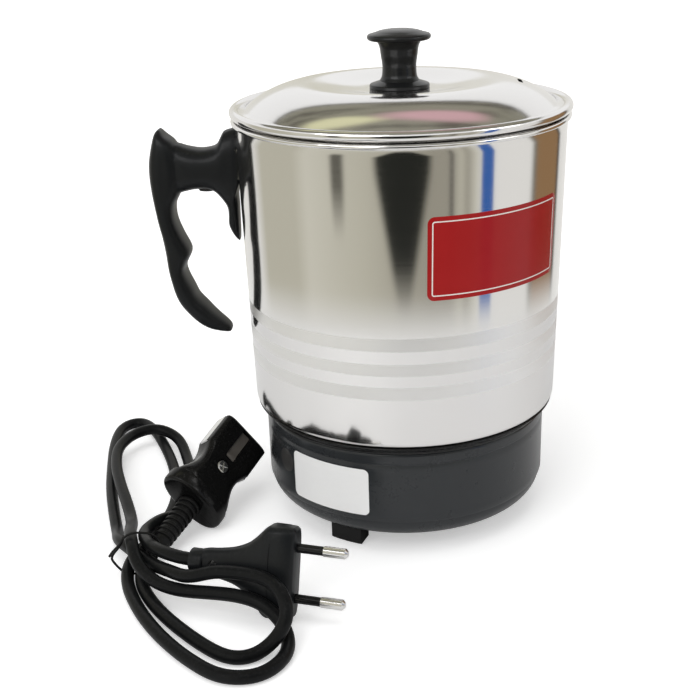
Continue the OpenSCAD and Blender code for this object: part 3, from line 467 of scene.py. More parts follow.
armStations = [
    (0.66, 0.93, 0.66, 0.7, 0.9), (0.6, 0.919, 0.6, 0.706, 0.96), (0.5, 0.908, 0.5, 0.715, 1),
    (0.4, 0.903, 0.4, 0.716, 1), (0.3, 0.908, 0.33, 0.713, 1), (0.235, 0.918, 0.265, 0.7, 1),
    (0.2, 0.935, 0.215, 0.677, 1), (0.165, 0.962, 0.17, 0.65, 1), (0.12, 0.984, 0.14, 0.625, 0.98),
    (-0.05, 0.978, 0.135, 0.6, 0.96), (-0.05, 0.8, 0.137, 0.57, 0.93), (0.016, 0.71, 0.14, 0.545, 0.88),
    (0.018, 0.64, 0.125, 0.522, 0.8), (0.02, 0.57, 0.1, 0.498, 0.68), (0.022, 0.51, 0.065, 0.474, 0.52),
    (0.026, 0.464, 0.032, 0.458, 0.3)]


def handleSolid(name, stations, s):
    foot = footOf("handle")

    def point(u, v):
        return Vector((axisX - cupRadius - s["reach"] * u, 0, foot + s["height"] * v))
    outer = spline([point(a[0], a[1]) for a in stations], s["steps"])
    inner = spline([point(a[2], a[3]) for a in stations], s["steps"])
    thick = spline([(a[4], 0, 0) for a in stations], s["steps"])
    rings = []
    for p, q, t in zip(outer, inner, thick):
        half = s["thickness"] / 2 * t.x
        rings.append([(p + q) / 2 + (p - q) / 2 * c + Vector((0, half * d, 0))
                      for c, d in superRing(1, 1, s["square"], s["sides"])])
    return loft(name, rings)


def remeshed(piece, s):
    change = piece.modifiers.new("blend", "REMESH")
    change.mode, change.voxel_size = "VOXEL", s["voxel"] * mm
    soften = piece.modifiers.new("soften", "SMOOTH")
    soften.factor, soften.iterations = 0.5, s["smooth"]
    bake(piece)
    finishNormals(piece, s["sharp"])


def makeHandle(s):
    handle = join("handleGrip", handleSolid("grip", gripStations, s), handleSolid("arm", armStations, s))
    remeshed(handle, s)
    low, gap, core = footOf("handle") - s["cupBelow"], s["cupGap"], s["cupCore"]
    wall = [(core, low), (cupRadiusAt(low) + gap, low), (cupRadius + gap, cupTop), (core, cupTop)]
    carve(handle, lathe("cupSpace", wall, s["cupSides"]), sharpAngle=s["sharp"])
    return handle


handleGrip = makeHandle(handleSettings)
print("handle made")

# connector: nose at x = 0, its two halves meet at z = 0
connectorSettings = dict(width=24.0, thickness=12.0, sides=72, parting=0.12, backX=-43.4, socketPitch=13.5,
                         socketR=3.15, socketDepth=18.6, sleeveBoreR=4.3, sleeveBoreX=-38.9, windowX=-1.2,
                         windowLength=16.4, windowWidth=5.0, windowFloor=2.6, windowSquare=8, stripX=-1.0,
                         stripLength=16.0, stripWidth=5.1, stripSink=0.8, stripGap=0.05, waistSteps=5,
                         cutterTop=20, spaceBack=-60, spaceFront=10, spaceHalf=30, sharp=35)
screwSettings = dict(x=-22.5, z=4.8, radius=2.9, recess=3.2, gap=0.05, slotLength=4.2, slotWidth=0.6,
                     slotFloor=0.35, slotTop=3, turn=28, sides=64, sharp=50,
                     head=((0, 0.96), (0.35, 1), (0.7, 0.97), (0.95, 0.85), (1.08, 0.6)))
noseStations = [(0, -1.1, -1.1, 6), (-0.25, -0.5, -0.5, 6.4), (-0.9, 0, 0, 7), (-8, 0, 0, 7), (-15, 0, 0, 7)]
waistStations = [(-16, 0, 0, 7), (-20, -1.6, 0, 6), (-24, -2.2, 0.3, 5), (-28, -1.6, 0.8, 4.4),
                 (-32, 0, 1.2, 4), (-35, 1.6, 1.6, 3.4), (-36.7, 2.3, 1.9, 2.8)]
guardStations = [(-36.9, 2.5, 2.05, 2.5), (-37.2, 3.0, 2.4, 2.4), (-37.9, 3.2, 2.6, 2.3),
                 (-41.9, 3.2, 2.6, 2.3), (-42.7, 2.9, 2.3, 2.3), (-43.2, 2.3, 1.8, 2.3),
                 (-43.4, 1.4, 1.0, 2.3)]


def prismX(name, ring, x0, x1):
    return loft(name, [[(x, y, z) for y, z in ring] for x in (x0, x1)])


def discX(name, r, x0, x1, y=0, sides=48):
    return prismX(name, [(y + a, b) for a, b in superRing(r, r, 2, sides)], x0, x1)


def discZ(name, r, x, z0, z1, sides=48):
    return loft(name, [[(x + a, b, z) for a, b in superRing(r, r, 2, sides)] for z in (z0, z1)])


def spline4(stations, steps):
    first = spline([s[:3] for s in stations], steps)
    second = spline([(s[3], 0, 0) for s in stations], steps)
    return [(a.x, a.y, a.z, b.x) for a, b in zip(first, second)]


def stripSeat(side, s):
    middle = side * (s["width"] / 2 - s["stripSink"])
    low = (s["stripX"] - s["stripLength"], middle - s["stripSink"], -s["stripWidth"] / 2)
    high = (s["stripX"] + s["stripGap"], middle + s["stripSink"] + s["stripGap"], s["stripWidth"] / 2)
    return boxPiece("stripSeat", low, high)


def windowCutter(s):
    half = s["windowLength"] / 2
    ring = superRing(half, s["windowWidth"] / 2, s["windowSquare"], 48)
    levels = (s["windowFloor"], s["cutterTop"])
    return loft("window", [[(s["windowX"] - half + a, b, z) for a, b in ring] for z in levels])


def makeConnector(s, screw):
    sharp, room, top = s["sharp"], s["spaceHalf"], s["cutterTop"]
    stations = noseStations + spline4(waistStations, s["waistSteps"]) + guardStations
    rings = [[(x, c, d) for c, d in superRing(s["width"] / 2 + w, s["thickness"] / 2 + t, k, s["sides"])]
             for x, w, t, k in stations]
    halves = []
    spaces = (("connectorTop", s["parting"] / 2, room), ("connectorBottom", -room, -s["parting"] / 2))
    for name, low, high in spaces:
        half = loft(name, rings, sharp)
        halfSpace = boxPiece("halfSpace", (s["spaceBack"], -room, low), (s["spaceFront"], room, high))
        carve(half, halfSpace, operation="INTERSECT", sharpAngle=sharp)
        cuts = [discX("socketBore", s["socketR"], -s["socketDepth"], 1, side * s["socketPitch"] / 2)
                for side in (-1, 1)]
        cuts += [stripSeat(side, s) for side in (-1, 1)]
        cuts.append(discX("sleeveBore", s["sleeveBoreR"], s["backX"] - 1, s["sleeveBoreX"]))
        if low > 0:
            cuts.append(discZ("screwRecess", screw["recess"], screw["x"], screw["z"] - screw["gap"], top))
            cuts.append(windowCutter(s))
        carve(half, *cuts, sharpAngle=sharp)
        halves.append(half)
    return halves


connectorTop, connectorBottom = makeConnector(connectorSettings, screwSettings)


def makeScrew(s):
    circle = superRing(s["radius"], s["radius"], 2, s["sides"])
    rings = [[(s["x"] + a * k, b * k, s["z"] + up) for a, b in circle] for up, k in s["head"]]
    head = loft("screwHead", rings, s["sharp"])
    long, wide, floor = s["slotLength"] / 2, s["slotWidth"] / 2, s["z"] + s["slotFloor"]
    for turned in (0, 90):
        slot = boxPiece("screwSlot", (-long, -wide, floor), (long, wide, s["z"] + s["slotTop"]))
        place(slot, Matrix.Translation(Vector((s["x"], 0, 0)) * mm)
              @ Matrix.Rotation(math.radians(turned + s["turn"]), 4, "Z"))
        carve(head, slot)
    return head


screwHead = makeScrew(screwSettings)

# ribbed sleeve behind the connector, its ribs set along it by geometry nodes
sleeveSettings = dict(neckR=3.8, endR=3.6, length=27.0, neckShare=0.72, endShare=0.8, inside=1.5, bore=2.55,
                      endEdge=0.5, endCut=0.15, sides=56, ribR=4.9, ribCount=8, ribPitch=2.7, ribWidth=1.5,
                      ribEdge=0.4, ribFlat=0.1, ribSink=0.3, firstRib=1.35, narrowing=0.018, sharp=35)


def makeSleeve(s):
    back = connectorSettings["backX"]
    front, end, endR = back + s["inside"], back - s["length"], s["endR"]
    last, cut = s["endEdge"], s["endCut"]
    core = [(s["bore"], front), (s["neckR"], front), (s["neckR"], back - s["length"] * s["neckShare"]),
            (endR, back - s["length"] * s["endShare"]), (endR, end + last), (endR - cut, end + cut),
            (endR - last, end), (s["bore"], end)]
    half, edge = s["ribWidth"] / 2, s["ribEdge"]
    inR, edgeR = s["neckR"] - s["ribSink"], s["ribR"] - edge
    rib = [(inR, -half), (edgeR - s["ribFlat"], -half)] + arc(edgeR, -half + edge, edge, -90, 0, 4)
    rib += arc(edgeR, half - edge, edge, 0, 90, 4) + [(inR, half)]
    lines = (("sleeveCore", core), ("ribShape", rib))
    return [turnedX(name, line, s["sides"], s["sharp"]) for name, line in lines]


def ribTree(ribShape, material):
    tree = bpy.data.node_groups.new("sleeveRibs", "GeometryNodeTree")
    face = tree.interface
    for name, kind in (("Geometry", "NodeSocketGeometry"), ("Count", "NodeSocketInt"),
                       ("Pitch", "NodeSocketFloat"), ("First", "NodeSocketFloat"),
                       ("Narrowing", "NodeSocketFloat")):
        face.new_socket(name, in_out="INPUT", socket_type=kind)
    face.new_socket("Geometry", in_out="OUTPUT", socket_type="NodeSocketGeometry")
    kinds = dict(
        start="NodeGroupInput", end="NodeGroupOutput", line="GeometryNodeMeshLine",
        step="ShaderNodeCombineXYZ", first="ShaderNodeCombineXYZ", minus="ShaderNodeMath",
        shape="GeometryNodeObjectInfo", copies="GeometryNodeInstanceOnPoints",
        index="GeometryNodeInputIndex", shrink="ShaderNodeMath", size="ShaderNodeMath",
        scale="ShaderNodeCombineXYZ", real="GeometryNodeRealizeInstances",
        paint="GeometryNodeSetMaterial", both="GeometryNodeJoinGeometry")
    n = {key: tree.nodes.new(kind) for key, kind in kinds.items()}
    n["minus"].operation = n["shrink"].operation = "MULTIPLY"
    n["minus"].inputs[1].default_value = -1
    n["size"].operation = "SUBTRACT"
    n["size"].inputs[0].default_value = 1
    n["scale"].inputs[0].default_value = 1
    n["shape"].inputs["Object"].default_value = ribShape
    n["paint"].inputs["Material"].default_value = material

    def link(a, out, b, into):
        tree.links.new(n[a].outputs[out], n[b].inputs[into])
    link("start", "Count", "line", "Count")
    link("start", "Pitch", "minus", 0)
    link("minus", 0, "step", 0)
    link("step", 0, "line", "Offset")
    link("start", "First", "first", 0)
    link("first", 0, "line", "Start Location")
    link("line", "Mesh", "copies", "Points")
    link("shape", "Geometry", "copies", "Instance")
    link("index", "Index", "shrink", 0)
    link("start", "Narrowing", "shrink", 1)
    link("shrink", 0, "size", 1)
    link("size", 0, "scale", 1)
    link("size", 0, "scale", 2)
    link("scale", 0, "copies", "Scale")
    link("copies", "Instances", "both", 0)
    link("start", "Geometry", "both", 0)
    link("both", 0, "real", 0)
    link("real", 0, "paint", "Geometry")
    link("paint", "Geometry", "end", 0)
    return tree


def addRibs(sleeve, ribShape, material, s):
    change = sleeve.modifiers.new("ribs", "NODES")
    change.node_group = ribTree(ribShape, material)
    values = dict(Count=s["ribCount"], Pitch=s["ribPitch"] * mm, Narrowing=s["narrowing"],
                  First=(connectorSettings["backX"] - s["firstRib"]) * mm)
    for item in change.node_group.interface.items_tree:
        if item.in_out == "INPUT" and item.name in values:
            change[item.identifier] = values[item.name]
    bake(sleeve)
    bpy.data.objects.remove(ribShape)
    finishNormals(sleeve, s["sharp"], recalculate=False)


sleeveCore, ribShape = makeSleeve(sleeveSettings)

# plug: face at x = 0, pins to +X
plugSettings = dict(sides=72, eyeX=-31.5, eyeR=1.5, pinPitch=18.6, pinBoreR=1.47, pinBoreDepth=9.2,
                    panelX=-5.6, panelY=6.8, panelSize=(3.4, 13.6), panelSquare=5, panelDepth=0.35,
                    panelOver=3, panelSides=56, eyeSides=40, eyeHalf=9, boreSides=32, collarSides=56,
                    neckSteps=4, sharp=35,
                    collar=((-35.6, 4.1), (-36.0, 4.4), (-36.3, 4.5), (-40.6, 4.5), (-40.9, 4.35),
                            (-41, 4.1)))
headStations = [(0, 15.4, 3.9, 5), (-0.3, 16.2, 4.7, 5), (-1.2, 16.9, 5.4, 5), (-5, 17, 6.6, 5),
                (-9.4, 17, 6.8, 5)]
neckStations = [(-10.4, 16.7, 6.8, 4.8), (-11.6, 15.8, 6.7, 4.6), (-13, 14.3, 6.4, 4.2),
                (-15.5, 11.8, 5.8, 3.8), (-19, 9, 4.9, 3.4), (-24, 6.8, 4, 3), (-30, 5.6, 3.5, 2.8),
                (-34, 5.2, 3.5, 2.6), (-36.4, 4.7, 3.5, 2.4)]


def gripPanel(side, s):  # a shallow panel on one face of the head
    y = side * s["panelY"]
    low, high = sorted((y - side * s["panelDepth"], y + side * s["panelOver"]))
    ring = superRing(*s["panelSize"], s["panelSquare"], s["panelSides"])
    return loft("gripPanel", [[(s["panelX"] + a, level, b) for a, b in ring] for level in (low, high)])


def pinBore(side, s):
    bore = discX("pinBore", s["pinBoreR"], -s["pinBoreDepth"], 1, sides=s["boreSides"])
    return place(bore, Matrix.Translation(Vector((0, 0, side * s["pinPitch"] / 2)) * mm))


def makePlug(s):
    stations = headStations + spline4(neckStations, s["neckSteps"])
    rings = [[(x, d, c) for c, d in superRing(w, t, k, s["sides"])] for x, w, t, k in stations]
    plug = loft("plugHead", rings, s["sharp"])
    circle, half = superRing(s["eyeR"], s["eyeR"], 2, s["eyeSides"]), s["eyeHalf"]
    cuts = [loft("eye", [[(s["eyeX"] + a, y, b) for a, b in circle] for y in (-half, half)])]
    for side in (-1, 1):
        cuts += [gripPanel(side, s), pinBore(side, s)]
    carve(plug, *cuts, sharpAngle=s["sharp"])
    rings = [[(x, a, b) for a, b in superRing(r, r, 2, s["collarSides"])] for x, r in s["collar"]]
    return plug, loft("plugCollar", rings)


plugHead, plugCollar = makePlug(plugSettings)

# contact strip that shows in the window of the connector, its end curled up
stripSettings = dict(
    line=((-1.9, 4.4), (-4, 4.9), (-13.6, 4.9), (-14.8, 5.2), (-15.8, 5.7), (-16.9, 5.6), (-17.3, 4.6)),
    thick=0.5, halfWidth=2.2)


def makeStrip(s):
    line, half = [Vector((x, 0, z)) for x, z in s["line"]], s["thick"] / 2
    rings = []
    for i, at in enumerate(line):
        along = (line[min(i + 1, len(line) - 1)] - line[max(i - 1, 0)]).normalized()
        out, aside = Vector((-along.z, 0, along.x)) * half, Vector((0, s["halfWidth"], 0))
        rings.append([tuple(at + k * out + y * aside) for y, k in ((-1, 1), (1, 1), (1, -1), (-1, -1))])
    return loft("windowStrip", rings)


windowStrip = makeStrip(stripSettings)
print("connector and plug made")

# bare labels, laid round the cup and the base
labelSettings = dict(
    rows=16, step=2, smallest=0.3, edge=(1, 0.7), edgeIn=0.003, sharp=30,
    steelPlate=dict(middle=-54.6, width=61.5, low=109.0, high=140.0, corner=2.6, lift=0.02, thick=0.14),
    steelBorder=dict(inset=1.6, line=0.45, rise=0.03, sink=0.02),
    basePaper=dict(middle=-121.8, width=36.4, low=18.2, high=38.2, corner=2.2, lift=0.02, thick=0.1),
    baseSeal=dict(middle=-145.2, width=9.8, low=26.4, high=36.2, corner=4.85, lift=0.02, thick=0.1))


def outline(width, height, corner, inset, n=14):
    a, b, r = width / 2 - inset, height / 2 - inset, max(corner - inset, labelSettings["smallest"])
    points = []
    for cx, cy, start in ((a - r, b - r, 0), (r - a, b - r, 90), (r - a, r - b, 180), (a - r, r - b, 270)):
        points += arc(cx, cy, r, start, start + 90, n)
    sides = []
    for p, q in zip(points, points[1:] + points[:1]):
        steps = max(1, int(math.dist(p, q) / labelSettings["step"]))
        run, rise = q[0] - p[0], q[1] - p[1]
        sides += [(p[0] + run * i / steps, p[1] + rise * i / steps) for i in range(steps)]
    return sides


def onRound(a, b, s, radiusAt, lift):
    z = (s["low"] + s["high"]) / 2 + b
    r = radiusAt(z) + lift
    angle = math.radians(s["middle"]) + a / radiusAt(z)
    return (axisX + r * math.cos(angle), r * math.sin(angle), z)


def makeLabel(name, s, radiusAt):
    edge = outline(s["width"], s["high"] - s["low"], s["corner"], 0)
    rows = labelSettings["rows"]
    shares = [i / rows for i in range(1, rows + 1)]
    rings = [[onRound(a * k, b * k, s, radiusAt, s["lift"]) for a, b in edge] for k in shares]
    top = [labelSettings["edge"]] + [(k - labelSettings["edgeIn"], 1) for k in reversed(shares)]
    rings += [[onRound(a * k, b * k, s, radiusAt, s["lift"] + s["thick"] * h) for a, b in edge]
              for k, h in top]
    return loft(name, rings, labelSettings["sharp"])


def makeBorder(name, s, border, radiusAt):
    rings = []
    base = s["lift"] + s["thick"]
    wide, rise, sink = border["line"], border["rise"], -border["sink"]
    for inset, lift in ((0, sink), (0, rise), (wide, rise), (wide, sink)):
        edge = outline(s["width"], s["high"] - s["low"], s["corner"], border["inset"] + inset)
        rings.append([onRound(a, b, s, radiusAt, base + lift) for a, b in edge])
    count = min(len(ring) for ring in rings)
    rings = [[ring[int(i * len(ring) / count)] for i in range(count)] for ring in rings]
    points = [p for ring in rings for p in ring]
    return addObject(name, points, ringFaces(len(rings), count, True), labelSettings["sharp"])


def baseRadiusAt(z):
    return baseRadius


steelPlate = makeLabel("steelPlate", labelSettings["steelPlate"], cupRadiusAt)
steelBorder = makeBorder("steelBorder", labelSettings["steelPlate"], labelSettings["steelBorder"],
                         cupRadiusAt)
basePaper = makeLabel("basePaper", labelSettings["basePaper"], baseRadiusAt)
baseSeal = makeLabel("baseSeal", labelSettings["baseSeal"], baseRadiusAt)
print("labels laid")


# effects that several finishes share
def effect(name, inputs, outputs):
    tree = bpy.data.node_groups.new(name, "ShaderNodeTree")
    kinds = dict(v="NodeSocketVector", c="NodeSocketColor", f="NodeSocketFloat")
    for label, kind in inputs:
        tree.interface.new_socket(label, in_out="INPUT", socket_type=kinds[kind])
    for label, kind in outputs:
        tree.interface.new_socket(label, in_out="OUTPUT", socket_type=kinds[kind])
    return tree, tree.nodes.new("NodeGroupInput"), tree.nodes.new("NodeGroupOutput")


def node(tree, kind, links=(), **values):
    made = tree.nodes.new(kind)
    for key, value in values.items():
        setattr(made, key, value)
    for index, source in links:
        if hasattr(source, "links"):
            tree.links.new(source, made.inputs[index])
        else:
            made.inputs[index].default_value = source
    return made


def mathNode(tree, operation, *sources):
    return node(tree, "ShaderNodeMath", list(enumerate(sources)), operation=operation).outputs[0]


def vectorNode(tree, operation, *sources):
    made = node(tree, "ShaderNodeVectorMath", list(enumerate(sources)), operation=operation)
    return made.outputs["Value" if operation == "LENGTH" else "Vector"]


def mapped(tree, value, low, high, first=0.0, last=1.0):
    ends = [(0, value), (1, low), (2, high), (3, first), (4, last)]
    return node(tree, "ShaderNodeMapRange", ends).outputs[0]


def axes(tree, vector):
    return node(tree, "ShaderNodeSeparateXYZ", [(0, vector)]).outputs


def noise(tree, vector, scale, detail=3, rough=0.55):
    made = node(tree, "ShaderNodeTexNoise", [("Vector", vector), ("Scale", scale), ("Detail", detail),
                                             ("Roughness", rough)])
    return made.outputs["Fac"]


def mixColour(tree, factor, first, second):
    made = tree.nodes.new("ShaderNodeMix")
    made.data_type = "RGBA"
    for socket, source in ((made.inputs[0], factor), (made.inputs[6], first), (made.inputs[7], second)):
        if hasattr(source, "links"):
            tree.links.new(source, socket)
        else:
            socket.default_value = source
    return made.outputs[2]


finishSockets = [("Vector", "v"), ("Colour", "c"), ("Patch Colour", "c"), ("Patch Scale", "f"),
                 ("Grain Scale", "f"), ("Rough", "f"), ("Rough Spread", "f")]
finishResults = [("Colour", "c"), ("Roughness", "f"), ("Height", "f")]


mouldedSettings = dict(patchDetail=4, grainDetail=2, grainRough=0.6, scuffTimes=7, scuffDetail=5,
                       scuffRough=0.7, scuffShare=0.6)
drawnSettings = dict(along=4, lineDetail=4, lineRough=0.7, patchDetail=4, patchShare=0.6)
dustSettings = dict(detail=6, rough=0.75, upFrom=0.1, upTo=0.95, speckFrom=0.5, speckTo=0.78)


def around(tree, value, share, middle):
    return mathNode(tree, "MULTIPLY_ADD", mathNode(tree, "SUBTRACT", value, 0.5), share, middle)


def roughnessFrom(tree, start, share):
    aside = mathNode(tree, "SUBTRACT", share, 0.5)
    spread = mathNode(tree, "MULTIPLY", aside, start.outputs["Rough Spread"])
    return mathNode(tree, "ADD", start.outputs["Rough"], spread)


def makeMoulded(s):
    tree, start, end = effect("mouldedGrain", finishSockets, finishResults)
    where, patchScale = start.outputs["Vector"], start.outputs["Patch Scale"]
    patches = noise(tree, where, patchScale, s["patchDetail"])
    grain = noise(tree, where, start.outputs["Grain Scale"], s["grainDetail"], s["grainRough"])
    scuffScale = mathNode(tree, "MULTIPLY", patchScale, s["scuffTimes"])
    scuff = noise(tree, where, scuffScale, s["scuffDetail"], s["scuffRough"])
    share = around(tree, scuff, s["scuffShare"], patches)
    colour = mixColour(tree, share, start.outputs["Colour"], start.outputs["Patch Colour"])
    tree.links.new(colour, end.inputs[0])
    tree.links.new(roughnessFrom(tree, start, share), end.inputs[1])
    tree.links.new(grain, end.inputs[2])
    return tree


def makeDrawn(s):
    tree, start, end = effect("drawnLines", finishSockets, finishResults)
    x, y, z = axes(tree, start.outputs["Vector"])
    long = [(i, mathNode(tree, "MULTIPLY", along, s["along"])) for i, along in enumerate((x, y))]
    fine = mathNode(tree, "MULTIPLY", z, start.outputs["Grain Scale"])
    stretched = node(tree, "ShaderNodeCombineXYZ", long + [(2, fine)]).outputs[0]
    streaks = noise(tree, stretched, 1, s["lineDetail"], s["lineRough"])
    patches = noise(tree, start.outputs["Vector"], start.outputs["Patch Scale"], s["patchDetail"])
    colour = mixColour(tree, patches, start.outputs["Colour"], start.outputs["Patch Colour"])
    tree.links.new(colour, end.inputs[0])
    share = around(tree, patches, s["patchShare"], streaks)
    tree.links.new(roughnessFrom(tree, start, share), end.inputs[1])
    tree.links.new(streaks, end.inputs[2])
    return tree


def makeDust(s):
    sockets = [("Vector", "v"), ("Amount", "f"), ("Scale", "f")]
    tree, start, end = effect("settledDust", sockets, [("Mask", "f")])
    up = axes(tree, node(tree, "ShaderNodeNewGeometry").outputs["Normal"])[2]
    specks = noise(tree, start.outputs["Vector"], start.outputs["Scale"], s["detail"], s["rough"])
    lying = mathNode(tree, "MULTIPLY", mapped(tree, up, s["upFrom"], s["upTo"]),
                     mapped(tree, specks, s["speckFrom"], s["speckTo"]))
    tree.links.new(mathNode(tree, "MULTIPLY", lying, start.outputs["Amount"]), end.inputs[0])
    return tree


effects = dict(moulded=makeMoulded(mouldedSettings), drawn=makeDrawn(drawnSettings))
dustEffect = makeDust(dustSettings)
dustColour = (0.5, 0.49, 0.47, 1)


def grey(v, warm=0.0):
    return (v * (1 + warm), v, v * (1 - warm), 1)


def effectNode(tree, effectTree, where, values):
    group = tree.nodes.new("ShaderNodeGroup")
    group.node_tree = effectTree
    tree.links.new(where, group.inputs["Vector"])
    for key, value in values.items():
        group.inputs[key].default_value = value
    return group


def finish(name, kind="moulded", colour=grey(0.02), patch=None, patchScale=30, grainScale=1500, rough=0.4,
           spread=0.1, bump=0.1, depth=0.02, metallic=0.0, coat=0.0, coatRough=0.1, dust=0.0, dustScale=900,
           ior=1.5, specular=0.5):
    material = bpy.data.materials.new(name)
    material.use_nodes = True
    tree = material.node_tree
    shader = tree.nodes["Principled BSDF"]
    where = node(tree, "ShaderNodeTexCoord").outputs["Object"]
    patch = patch or tuple(min(1, c * 1.35) for c in colour[:3]) + (1,)
    group = effectNode(tree, effects[kind], where, {
        "Colour": colour, "Patch Colour": patch, "Patch Scale": patchScale, "Grain Scale": grainScale,
        "Rough": rough, "Rough Spread": spread})
    colourOut = group.outputs["Colour"]
    if dust:
        settled = effectNode(tree, dustEffect, where, {"Amount": dust, "Scale": dustScale})
        colourOut = mixColour(tree, settled.outputs["Mask"], colourOut, dustColour)
    tree.links.new(colourOut, shader.inputs["Base Color"])
    tree.links.new(group.outputs["Roughness"], shader.inputs["Roughness"])
    raised = node(tree, "ShaderNodeBump", [("Strength", bump), ("Distance", depth * mm),
                                           ("Height", group.outputs["Height"])])
    tree.links.new(raised.outputs[0], shader.inputs["Normal"])
    values = {"Metallic": metallic, "Coat Weight": coat, "Coat Roughness": coatRough, "IOR": ior,
              "Specular IOR Level": specular}
    for socket, value in values.items():
        shader.inputs[socket].default_value = value
    return material


steel = dict(kind="drawn", colour=grey(0.8, 0.012), patch=grey(0.74, 0.015), patchScale=9, grainScale=1400,
             rough=0.11, spread=0.08, bump=0.05, depth=0.01, metallic=1.0)
plastic = dict(grainScale=2600, bump=0.35, depth=0.03, dust=0.03, specular=0.25, ior=1.36)
finishes = dict(
    cup_steel=dict(steel),
    lid_steel=dict(steel, rough=0.13, patchScale=14),
    fastener_steel=dict(steel, colour=grey(0.78), patch=grey(0.66), rough=0.22, grainScale=900),
    handle_plastic=dict(plastic, colour=grey(0.006, -0.1), patch=grey(0.01, -0.1), rough=0.38, coat=0.06),
    knob_plastic=dict(plastic, colour=grey(0.007, -0.06), patch=grey(0.011, -0.06), rough=0.34, coat=0.25),
    base_plastic=dict(plastic, colour=grey(0.02, -0.1), patch=grey(0.026, -0.1), rough=0.28, coat=0.3,
                      bump=0.08, specular=0.4, dust=0.0),
    collar_plastic=dict(plastic, colour=grey(0.006), patch=grey(0.009), rough=0.18, coat=0.25,
                        coatRough=0.06, bump=0.12),
    foot_rubber=dict(plastic, colour=grey(0.012), rough=0.6, spread=0.2, bump=0.5),
    plate_aluminium=dict(steel, colour=grey(0.78), patch=grey(0.7), rough=0.34, spread=0.2),
    element_tube=dict(steel, colour=grey(0.4, 0.05), patch=grey(0.3, 0.08), rough=0.4, spread=0.25),
    insulation=dict(colour=(0.5, 0.46, 0.36, 1), patch=(0.62, 0.58, 0.46, 1), patchScale=120, rough=0.75,
                     bump=0.5),
    thermostat_ceramic=dict(colour=(0.72, 0.7, 0.64, 1), patch=(0.8, 0.78, 0.72, 1), rough=0.5, bump=0.2),
    fuse_sleeve=dict(colour=(0.55, 0.5, 0.3, 1), patch=(0.66, 0.6, 0.38, 1), rough=0.55, bump=0.3),
    lead_insulation=dict(colour=(0.36, 0.05, 0.04, 1), patch=(0.46, 0.08, 0.06, 1), rough=0.5, bump=0.3),
    contact_brass=dict(steel, colour=(0.75, 0.55, 0.24, 1), patch=(0.66, 0.46, 0.2, 1), rough=0.25),
    pin_nickel=dict(steel, colour=grey(0.78, 0.01), patch=grey(0.7, 0.01), rough=0.17, spread=0.04,
                    bump=0.02),
    connector_plastic=dict(plastic, colour=grey(0.004), patch=grey(0.007), rough=0.24, coat=0.18, bump=0.15),
    sleeve_rubber=dict(plastic, colour=grey(0.006), patch=grey(0.01), rough=0.38),
    cord_pvc=dict(plastic, colour=grey(0.005, -0.06), patch=grey(0.008, -0.06), patchScale=60, rough=0.36,
                  coat=0.06, specular=0.2, ior=1.3, bump=0.25),
    tie_plastic=dict(plastic, colour=grey(0.007), rough=0.4),
    plug_rubber=dict(plastic, colour=grey(0.008, -0.1), patch=grey(0.012, -0.1), rough=0.34, coat=0.08))
materials = {slot: finish(slot, **values) for slot, values in finishes.items()}

# finishes of the labels, the strip in the window and the handle's screw, which have no slot of their own
extraFinishes = dict(
    stripMetal=dict(kind="drawn", colour=grey(0.4, 0.08), patch=grey(0.2, 0.12), patchScale=160, rough=0.42,
                    metallic=0.75),
    blackScrew=dict(colour=grey(0.012), patch=grey(0.02), rough=0.4, specular=0.3),
    plateRed=dict(colour=(0.31, 0.003, 0.004, 1), patch=(0.37, 0.005, 0.006, 1), patchScale=22, rough=0.34,
                  bump=0.08, coat=0.15, coatRough=0.1, specular=0.2),
    plateLine=dict(colour=(0.82, 0.78, 0.74, 1), patch=(0.72, 0.68, 0.62, 1), rough=0.4, bump=0.05),
    paperWhite=dict(colour=(0.88, 0.88, 0.87, 1), patch=(0.93, 0.93, 0.92, 1), patchScale=80, rough=0.45,
                    bump=0.15, coat=0.2),
    sealDark=dict(colour=grey(0.03, 0.02), patch=grey(0.05, 0.03), patchScale=90, rough=0.3, coat=0.5))
extras = {name: finish(name, **values) for name, values in extraFinishes.items()}

# matte rings ground into the polished cup
bandSettings = dict(rings=((70.0, 75.3), (79.7, 84.5), (89.6, 94.6)), edge=0.25, low=60.0, high=100.0,
                    rough=0.42, colour=grey(0.83, 0.005))


def addBands(material, s):
    tree = material.node_tree
    shader = tree.nodes["Principled BSDF"]
    where = node(tree, "ShaderNodeTexCoord").outputs["Object"]
    share = mapped(tree, axes(tree, where)[2], s["low"] * mm, s["high"] * mm)
    ramp = node(tree, "ShaderNodeValToRGB", [(0, share)])
    stops = ramp.color_ramp.elements
    for stop, position in zip(stops, (0, 1)):
        stop.position, stop.color = position, (0, 0, 0, 1)
    for low, high in s["rings"]:
        edge = s["edge"]
        for z, v in ((low - edge, 0), (low + edge, 1), (high - edge, 1), (high + edge, 0)):
            stops.new((z - s["low"]) / (s["high"] - s["low"])).color = (v, v, v, 1)
    # only the outside of the wall has them
    beside = vectorNode(tree, "SUBTRACT", where, (axisX * mm, 0, 0))
    away = vectorNode(tree, "LENGTH", vectorNode(tree, "MULTIPLY", beside, (1, 1, 0)))
    wall = (cupRadiusAt(s["rings"][0][0]) - cupSettings["wall"] / 2) * mm
    mask = mathNode(tree, "MULTIPLY", ramp.outputs[0], mathNode(tree, "GREATER_THAN", away, wall))
    rough, colour = (shader.inputs[name].links[0].from_socket for name in ("Roughness", "Base Color"))
    more = mathNode(tree, "SUBTRACT", s["rough"], rough)
    wide = mathNode(tree, "MULTIPLY_ADD", more, mask, rough)
    tree.links.new(wide, shader.inputs["Roughness"])
    tree.links.new(mixColour(tree, mask, colour, s["colour"]), shader.inputs["Base Color"])


addBands(materials["cup_steel"], bandSettings)
print("finishes ready")


